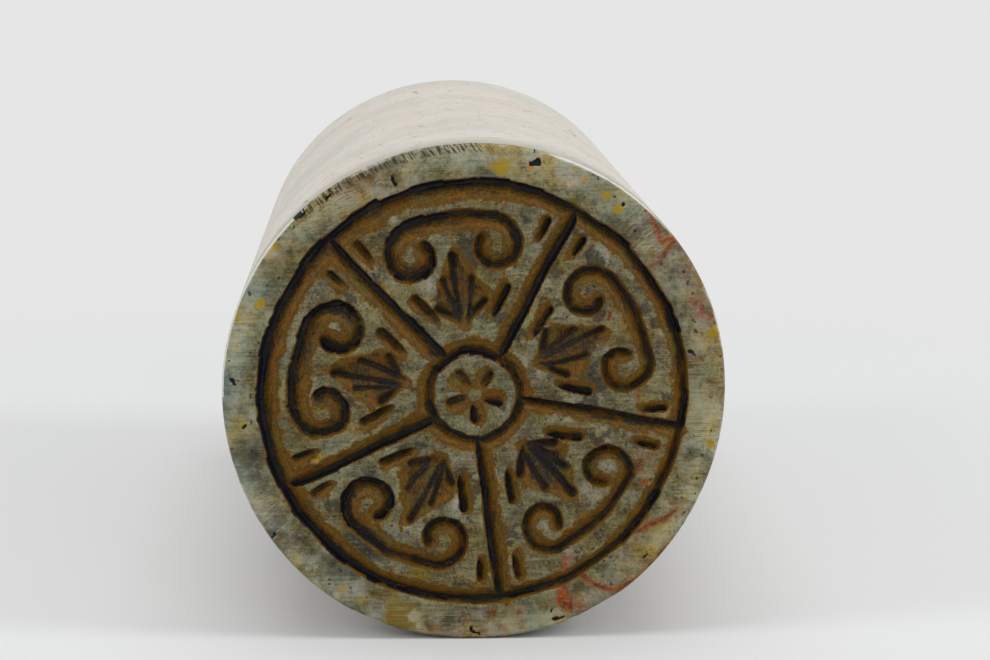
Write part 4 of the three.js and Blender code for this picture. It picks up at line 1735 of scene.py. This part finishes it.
@dataclass
class StoneModel:
    """The stone's fine mesh. The first two sizes come from the frame, in metres, and the rest are millimetres.

    Args:
        face_centre: the middle of the printing face.
        length: the stone's length.
        outline: its outline.
        grid: the grid over its face.
        stations: how far behind the face the body's rings lie.
        carved_fade: how far behind the face the carving's numbers are gone, and how far they are whole. The other
        pairs say the same of the field, the file marks and the pale worn edge with its painted highlight, and
        turns are in degrees.
        mark_range: the least and the greatest distance from a mark that is kept.
    """

    face_centre: Vector
    length: float
    outline: StoneOutline
    grid: FaceGrid
    far_edge_radius: float = 2.5
    far_edge_steps: int = 6
    far_end_rings: tuple[float, ...] = (13.0, 8.0, 3.0)
    bevel_length: float = 0.34
    stations: tuple[float, ...] = (0.1, 0.22, 0.34, 0.55, 0.9, 1.5, 2.5, 4.5, 8.0, 16.0, 32.0, 54.0)
    chip_reach: float = 3.0
    chip_roughness: float = 0.05
    carved_fade: Point = (1.55, 0.35)
    face_reach: float = 1.5
    side_start: float = 16.0
    mark_range: Point = (-1.0, 2.0)
    bends: Bends = ((0.07, 0.5, 51, 52),)
    field_edge: Point = (17.3, 15.5)
    tick_turns: tuple[Point, Point] = ((84, 90), (138, 130))
    tick_rim: Point = (0.7, 0.5)
    tick_back: Point = (0.9, 0.5)
    highlight_turns: tuple[Point, Point, Point] = ((40, 50), (76, 68), (128, 138))
    edge_rim: Point = (0.2, 0.08)
    edge_back: Point = (0.6, 0.25)

    def to_frame(self, u: Array, v: Array, back: Array) -> Array:
        """Turn millimetres on and behind the face into places in the frame, in metres."""
        places = np.stack([u, back, v], axis=1)
        return np.array(self.face_centre) + places * MM

    def face_sheet(self) -> bpy.types.Object:
        """Make the carved face as an open sheet, with the carving's numbers stored at its points.

        Returns:
            The sheet.
        """
        sheet = self.grid.add_plane("carved_stone_surface")
        u, v = self.grid.spread(sheet).T
        self.grid.carve(u, v)
        move_points(sheet.data, self.to_frame(u, v, self.grid.depth))
        for name in ("grime", "land", "soot_and_shade_line", "along", "across"):
            store(sheet.data, name, getattr(self.grid, name))
        return sheet

    def rings(self) -> list[Point]:
        """Lay out the rings of points from the edge of the face to the far end.

        Returns:
            How far behind the face each ring lies, and its radius.
        """
        length, radius = self.length / MM, self.outline.radius_mm
        rings = []
        for back in (*self.stations, length - self.far_edge_radius):
            rings.append((back, radius - self.grid.edge_bevel * max(0.0, 1 - back / self.bevel_length)))
        for turn in np.linspace(0, QUARTER_TURN, self.far_edge_steps + 1)[1:]:
            back = length - self.far_edge_radius * (1 - math.sin(turn))
            rings.append((back, radius - self.far_edge_radius * (1 - math.cos(turn))))
        return rings + [(length, end_radius) for end_radius in self.far_end_rings]

    def extrude_body(self, sheet: bpy.types.Object) -> None:
        """Pull the sheet's edge back into the bevel, the body, the rounded far edge and the far end.

        Args:
            sheet: the carved face.
        """
        select_only(sheet)
        bpy.ops.object.mode_set(mode="EDIT")
        bpy.ops.mesh.select_mode(type="EDGE")
        bpy.ops.mesh.select_all(action="SELECT")
        bpy.ops.mesh.region_to_loop()
        last_back, last_radius = 0.0, self.outline.radius_mm - self.grid.edge_bevel
        for back, radius in self.rings():
            step = (0.0, (back - last_back) * MM, 0.0)
            bpy.ops.mesh.extrude_region_move(TRANSFORM_OT_translate={"value": step})
            scale = radius / last_radius
            if abs(scale - 1) > CLOSE_ENOUGH:
                centre = (self.face_centre.x, 0.0, self.face_centre.z)
                bpy.ops.transform.resize(value=(scale, 1.0, scale), center_override=centre)
            last_back, last_radius = back, radius
        bpy.ops.mesh.merge(type="CENTER")
        bpy.ops.object.mode_set(mode="OBJECT")

    def model(self) -> bpy.types.Object:
        """Make the whole stone.

        Returns:
            The stone, closed, with its numbers stored at its points.
        """
        stone = self.face_sheet()
        self.extrude_body(stone)
        mesh = stone.data
        places = points_of(mesh)
        u = (places[:, 0] - self.face_centre.x) / MM
        v = (places[:, 2] - self.face_centre.z) / MM
        back = (places[:, 1] - self.face_centre.y) / MM
        for chip in CHIPS:
            u, v, back = self.break_chip(chip, u, v, back)
        v, back = np.maximum(v, -self.outline.axis_height), back.clip(0.0, self.length / MM)
        move_points(mesh, self.to_frame(u, v, back))
        self.clear_behind(mesh, back)
        self.store_marks(mesh, u, v, back)
        select_only(stone)
        bpy.ops.object.shade_smooth()
        return stone

    def break_chip(
        self, chip: Chip, u: Array, v: Array, back: Array
    ) -> tuple[Array, Array, Array]:
        """Break one flake from the edge of the face.

        Args:
            chip: the flake.
            u: the points' places to the right.
            v: their places upwards.
            back: their distances behind the face.

        Returns:
            The three again, with the points outside the break moved onto it.
        """
        angle = math.radians(chip.angle)
        outward, along = polar(1.0, angle), polar(1.0, angle + QUARTER_TURN)
        edge = float(self.outline.radius(np.array([angle]))[0])
        normal_out, normal_front = chip.tilt, math.sqrt(1 - chip.tilt**2)
        out = u * outward[0] + v * outward[1] - edge
        side = u * along[0] + v * along[1]
        rough = self.chip_roughness * Unevenness(0.5, 40).at(u + back, v)
        hollow = chip.depth * 4 * (side / chip.breadth) ** 2
        above = out * normal_out - back * normal_front + chip.depth - hollow + rough
        near = (np.maximum(-out, back) < self.chip_reach) & (above > 0) & (np.abs(side) < chip.breadth)
        moved = np.where(near, above, 0.0)
        u = u - moved * normal_out * outward[0]
        v = v - moved * normal_out * outward[1]
        return u, v, back + moved * normal_front

    def clear_behind(self, mesh: bpy.types.Mesh, back: Array) -> None:
        """Let the carving's numbers, which the extruded rings copied from the edge, fade out behind the face.

        Args:
            mesh: the whole stone.
            back: how far behind the face its points lie.
        """
        fade = smooth(back, *self.carved_fade)
        side = np.arange(len(back)) >= (self.grid.cells + 1) ** 2
        for name, clean in (("grime", 0.0), ("land", self.grid.clear_land), ("soot_and_shade_line", 0.0)):
            values = np.empty(len(back), np.float32)
            mesh.attributes[name].data.foreach_get("value", values)
            values[side] = (clean + (values - clean) * fade)[side]
            mesh.attributes[name].data.foreach_set("value", values)

    def store_marks(self, mesh: bpy.types.Mesh, u: Array, v: Array, back: Array) -> None:
        """Store at each point how far it is from the natural marks, the edge and the carved field.

        Args:
            mesh: the whole stone.
            u: its points' places to the right.
            v: their places upwards.
            back: their distances behind the face.
        """
        radius = np.hypot(u, v)
        behind_bevel = (back - self.grid.edge_bevel).clip(0.0)
        behind = behind_bevel * (radius > self.side_start)
        for kind, spots in SPOTS.items():
            edges = [np.hypot(np.hypot(u - u0, v - v0), behind) - reach for u0, v0, reach in spots]
            store(mesh, kind.value, np.minimum.reduce(edges).clip(*self.mark_range))
        for tint, washes in WASHES.items():
            shares = [np.exp(-((u - u0) ** 2 + (v - v0) ** 2) / reach**2) for u0, v0, reach in washes]
            store(mesh, tint.value, np.maximum.reduce(shares))
        store(mesh, "vein", self.vein_distance(u, v) + behind * 0.5)
        store(mesh, "away", behind_bevel.clip(0.0, 12.0))

        pattern = Pattern()
        inner_edge = pattern.ring_radius + pattern.ring_width / 2
        on_face = back < self.face_reach
        inside = on_face & (radius < inner_edge + 0.3)
        store(mesh, "inner", np.where(inside, smooth(radius, inner_edge + 0.2, inner_edge - 0.4), 0.0))
        store(mesh, "field", np.where(on_face, smooth(radius, *self.field_edge), 0.0))

        rim = self.outline.radius(np.arctan2(v, u)) - radius
        turn = np.degrees(np.arctan2(v, u))
        first, last = (smooth(turn, *turns) for turns in self.tick_turns)
        store(mesh, "ticks", first * last * smooth(rim, *self.tick_rim) * smooth(back, *self.tick_back))
        # The edge's painted highlight: full at the turns where light catches the edge, a third as strong elsewhere
        # as pale wear
        first, last, left = (smooth(turn, *turns) for turns in self.highlight_turns)
        bright = 0.35 + 0.65 * np.maximum(first * last, left)
        store(mesh, "edge", bright * smooth(rim, *self.edge_rim) * smooth(back, *self.edge_back))

    def vein_distance(self, u: Array, v: Array) -> Array:
        """Measure from the veins.

        Args:
            u: the points' places to the right.
            v: their places upwards.

        Returns:
            The distance of each point outside the nearest vein, up to the greatest that is kept.
        """
        nearest = np.full(u.shape, self.mark_range[1])
        bent_u, bent_v = bent(u, v, self.bends)
        for vein in VEINS:
            for (u0, v0), (u1, v1) in zip(vein.points[:-1], vein.points[1:]):
                run = (u1 - u0) ** 2 + (v1 - v0) ** 2
                share = (((bent_u - u0) * (u1 - u0) + (bent_v - v0) * (v1 - v0)) / run).clip(0.0, 1.0)
                gap = np.hypot(bent_u - u0 - share * (u1 - u0), bent_v - v0 - share * (v1 - v0))
                nearest = np.minimum(nearest, gap - vein.reach)
        return nearest


@dataclass
class PasteModel:
    """The crusts of dried paste in the strokes, one piece for each deposit."""

    stone: StoneModel

    def names(self) -> dict[int, str]:
        """Name the deposits.

        Returns:
            The CAD node that each deposit's crust replaces.
        """
        names = {int(Deposit.MAIN_CHANNELS): PASTE_PREFIX + "main_channels"}
        for number in range(1, Pattern().sectors + 1):
            names[Deposit.CLOUD + number] = f"{PASTE_PREFIX}cloud_{number}"
            names[Deposit.BUD + number] = f"{PASTE_PREFIX}bud_{number}"
        return names

    def model(self) -> list[tuple[bpy.types.Object, str]]:
        """Make every crust.

        Returns:
            Each piece with the CAD node that it replaces.
        """
        grid = self.stone.grid
        sheet = grid.add_plane("paste_sheet")
        u, v = grid.spread(sheet).T
        levels = grid.fill_levels(u, v)
        cells = grid.filled_cells(levels).ravel()
        move_points(sheet.data, self.stone.to_frame(u, v, levels))
        floors = np.maximum(grid.depth, levels) + grid.fill_sink
        store(sheet.data, "floor", floors)
        order = self.cell_order(sheet)
        pieces = []
        for deposit, node in self.names().items():
            crust = self.lift_out(sheet, cells[order] == deposit, node)
            self.thicken(crust)
            pieces.append((crust, node))
        bpy.data.objects.remove(sheet)
        return pieces

    def cell_order(self, sheet: bpy.types.Object) -> Array:
        """Match the sheet's faces to the grid's table, by the lowest of their points' numbers.

        Args:
            sheet: the whole sheet.

        Returns:
            Which cell of the table each face is.
        """
        side = self.stone.grid.cells + 1
        corners = np.empty(len(sheet.data.polygons) * 4, int)
        sheet.data.polygons.foreach_get("vertices", corners)
        lowest = corners.reshape(-1, 4).min(1)
        return lowest // side * (side - 1) + lowest % side

    def lift_out(self, sheet: bpy.types.Object, chosen: Array, node: str) -> bpy.types.Object:
        """Copy a part of the sheet.

        Args:
            sheet: the whole sheet.
            chosen: which of its faces to keep.
            node: the CAD node that the copy is for.

        Returns:
            The copy.
        """
        crust = sheet.copy()
        crust.data = sheet.data.copy()
        crust.name = crust.data.name = node + "_crust"
        bpy.context.scene.collection.objects.link(crust)
        select_only(crust)
        bpy.ops.object.mode_set(mode="EDIT")
        bpy.ops.mesh.select_mode(type="FACE")
        bpy.ops.mesh.select_all(action="DESELECT")
        bpy.ops.object.mode_set(mode="OBJECT")
        crust.data.polygons.foreach_set("select", ~chosen)
        bpy.ops.object.mode_set(mode="EDIT")
        bpy.ops.mesh.delete(type="FACE")
        bpy.ops.object.mode_set(mode="OBJECT")
        return crust

    def thicken(self, crust: bpy.types.Object) -> None:
        """Close a crust: its back is pushed down onto the floor of the cut.

        Args:
            crust: the open crust.
        """
        count = len(crust.data.vertices)
        select_only(crust)
        bpy.ops.object.mode_set(mode="EDIT")
        bpy.ops.mesh.select_all(action="SELECT")
        bpy.ops.mesh.extrude_region_move(TRANSFORM_OT_translate={"value": (0.0, MM, 0.0)})
        bpy.ops.object.mode_set(mode="OBJECT")
        mesh = crust.data
        places = points_of(mesh)
        floors = np.empty(len(mesh.vertices), np.float32)
        mesh.attributes["floor"].data.foreach_get("value", floors)
        pushed = np.flatnonzero([vertex.select for vertex in mesh.vertices])
        places[pushed, 1] = self.stone.face_centre.y + floors[pushed] * MM
        move_points(mesh, places)
        bpy.ops.object.mode_set(mode="EDIT")
        bpy.ops.mesh.select_all(action="SELECT")
        bpy.ops.mesh.normals_make_consistent(inside=False)
        bpy.ops.object.mode_set(mode="OBJECT")
        bpy.ops.object.shade_smooth()
        log.info("%s: %d points on top", crust.name, count)


@dataclass(frozen=True)
class Lamp:
    """A square soft lamp. Metres and watts."""

    name: str
    place: Place
    size: float
    power: float


@dataclass(frozen=True)
class Studio:
    """The camera at the photograph's place, the pale floor and backdrop, and the soft lamps.

    Args:
        focal_pixels: the focal length, in the photograph's pixels.
        face_pixel: where the middle of the face is in the photograph.
        face_pixel_radius: how large the face's radius is there.
        vanishing_pixel: where the stone's axis vanishes.
        floor_fade: how far off the floor starts to turn into the backdrop, and where it has, in metres.
    """

    frame_width: int = 990
    frame_height: int = 660
    focal_pixels: float = 3000.0
    face_pixel: Point = (474.5, 395.0)
    face_pixel_radius: float = 252.5
    vanishing_pixel: Point = (386.0, -94.0)
    sensor_width: float = 36.0
    nearest: float = 0.01
    backdrop: Colour = (0.785, 0.79, 0.785)
    floor_tone: Colour = (0.7, 0.706, 0.712)
    floor_size: float = 12.0
    floor_fade: Point = (0.06, 0.17)
    daylight: float = 0.62
    lamps: tuple[Lamp, ...] = (
        Lamp("lamp_above", (0.0, -0.05, 0.7), size=0.6, power=1.6),
        Lamp("lamp_left", (-0.55, -0.25, 0.38), size=0.25, power=0.9),
        Lamp("lamp_right", (0.6, -0.2, 0.42), size=0.25, power=1.4),
        Lamp("lamp_front", (0.1, -0.8, 0.35), size=0.5, power=1.0),
    )

    def add_camera(self, face_centre: Vector, radius: float) -> None:
        """Place the camera so that the face and the stone's axis lie as they do in the photograph.

        Args:
            face_centre: the middle of the face, in metres.
            radius: the face's radius, in metres.
        """
        centre_x, centre_y = self.frame_width / 2, self.frame_height / 2
        run = Vector(
            (self.vanishing_pixel[0] - centre_x, centre_y - self.vanishing_pixel[1], self.focal_pixels)
        ).normalized()
        turn = math.asin(run.x)
        pitch = math.asin(run.y / math.cos(turn))
        right = Vector((math.cos(turn), math.sin(turn), 0.0))
        level = Vector((-math.sin(turn), math.cos(turn), 0.0))
        ahead = level * math.cos(pitch) - Vector((0, 0, 1)) * math.sin(pitch)
        up = right.cross(ahead)
        distance = self.focal_pixels * radius / self.face_pixel_radius
        aside = (self.face_pixel[0] - centre_x) / self.focal_pixels
        below = (self.face_pixel[1] - centre_y) / self.focal_pixels
        place = face_centre - distance * (ahead + right * aside - up * below)

        data = bpy.data.cameras.new("photo_camera")
        data.sensor_width = self.sensor_width
        data.lens = self.focal_pixels / self.frame_width * self.sensor_width
        data.clip_start = self.nearest
        camera = bpy.data.objects.new("photo_camera", data)
        bpy.context.scene.collection.objects.link(camera)
        turned = Matrix((right, up, -ahead)).transposed().to_4x4()
        camera.matrix_world = Matrix.Translation(place) @ turned
        bpy.context.scene.camera = camera

    def add_floor(self) -> None:
        """Lay the pale floor, which keeps shadows near the stone and turns into the backdrop further off."""
        bpy.ops.object.select_all(action="DESELECT")
        bpy.ops.mesh.primitive_plane_add(size=self.floor_size)
        floor = bpy.context.object
        floor.name = floor.data.name = "floor"
        graph = Graph(bpy.data.materials.new("floor"))
        x, y, _ = graph.parts(graph.object_place((MM, MM, MM)))
        far = (x * x + y * y).power(0.5).step(*self.floor_fade)
        near = graph.add("ShaderNodeBsdfDiffuse", None, {"Color": self.floor_tone})
        plain = graph.add("ShaderNodeEmission", None, {"Color": self.backdrop, "Strength": 1.0})
        mixed = graph.add("ShaderNodeMixShader", None, {0: far, 1: near, 2: plain})
        floor.data.materials.append(graph.finish(mixed))

    def add_world(self) -> None:
        """Surround the scene with even pale light, and show the backdrop's colour to the camera."""
        graph = Graph(bpy.data.worlds.new("studio"))
        light = graph.add("ShaderNodeBackground", None, {"Color": (1.0, 1.0, 1.0), "Strength": self.daylight})
        seen = graph.add("ShaderNodeBackground", None, {"Color": self.backdrop})
        straight = graph.add("ShaderNodeLightPath", output="Is Camera Ray")
        shown = straight.larger(straight.other("Is Transmission Ray")).larger(straight.other("Is Glossy Ray"))
        mixed = graph.add("ShaderNodeMixShader", None, {0: shown, 1: light, 2: seen})
        bpy.context.scene.world = graph.finish(mixed, "ShaderNodeOutputWorld")

    def add_lamp(self, lamp: Lamp, target: Vector) -> None:
        """Add a lamp.

        Args:
            lamp: which lamp.
            target: the place that it points at, in metres.
        """
        data = bpy.data.lights.new(lamp.name, "AREA")
        data.shape = "SQUARE"
        data.size = lamp.size
        data.energy = lamp.power
        light = bpy.data.objects.new(lamp.name, data)
        bpy.context.scene.collection.objects.link(light)
        light.location = Vector(lamp.place)
        light.rotation_euler = (target - light.location).to_track_quat("-Z", "Y").to_euler()

    def add_all(self, face_centre: Vector, radius: float) -> None:
        """Build the camera, floor, backdrop and lamps.

        Args:
            face_centre: the middle of the face, in metres.
            radius: the face's radius, in metres.
        """
        self.add_camera(face_centre, radius)
        self.add_floor()
        self.add_world()
        for lamp in self.lamps:
            self.add_lamp(lamp, face_centre)
        bpy.context.scene.view_settings.view_transform = "Standard"


def main() -> None:
    """Build each part of the scene in order, and say what was built."""
    logging.basicConfig(level=logging.INFO, format="%(name)s: %(message)s")
    low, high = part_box(STONE_NODE)
    mounts = {mount["name"]: mount for mount in frame["record"]["mounts"]}
    face_centre = Vector(mounts["printing_face"]["pos_m"])
    pattern = Pattern()

    Studio().add_all(face_centre, pattern.stone_radius * MM)

    outline = StoneOutline(pattern.stone_radius, face_centre.z / MM)
    cuts = Graver(pattern).carve() + [nick.knock() for nick in NICKS]
    grid = FaceGrid(cuts, outline)
    stone = StoneModel(face_centre, high.y - low.y, outline, grid)
    stone_piece = stone.model()
    stone_piece.data.materials.clear()
    stone_piece.data.materials.append(SoapstoneFinish().material())
    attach(stone_piece, "root")
    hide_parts(STONE_NODE)
    log.info("%s: %d points, %d cuts", stone_piece.name, len(stone_piece.data.vertices), len(cuts))

    paste_material = PasteFinish().material()
    for crust, node in PasteModel(stone).model():
        crust.data.materials.clear()
        crust.data.materials.append(paste_material)
        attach(crust, "root")
        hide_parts(node)


if __name__ == "__main__":
    main()
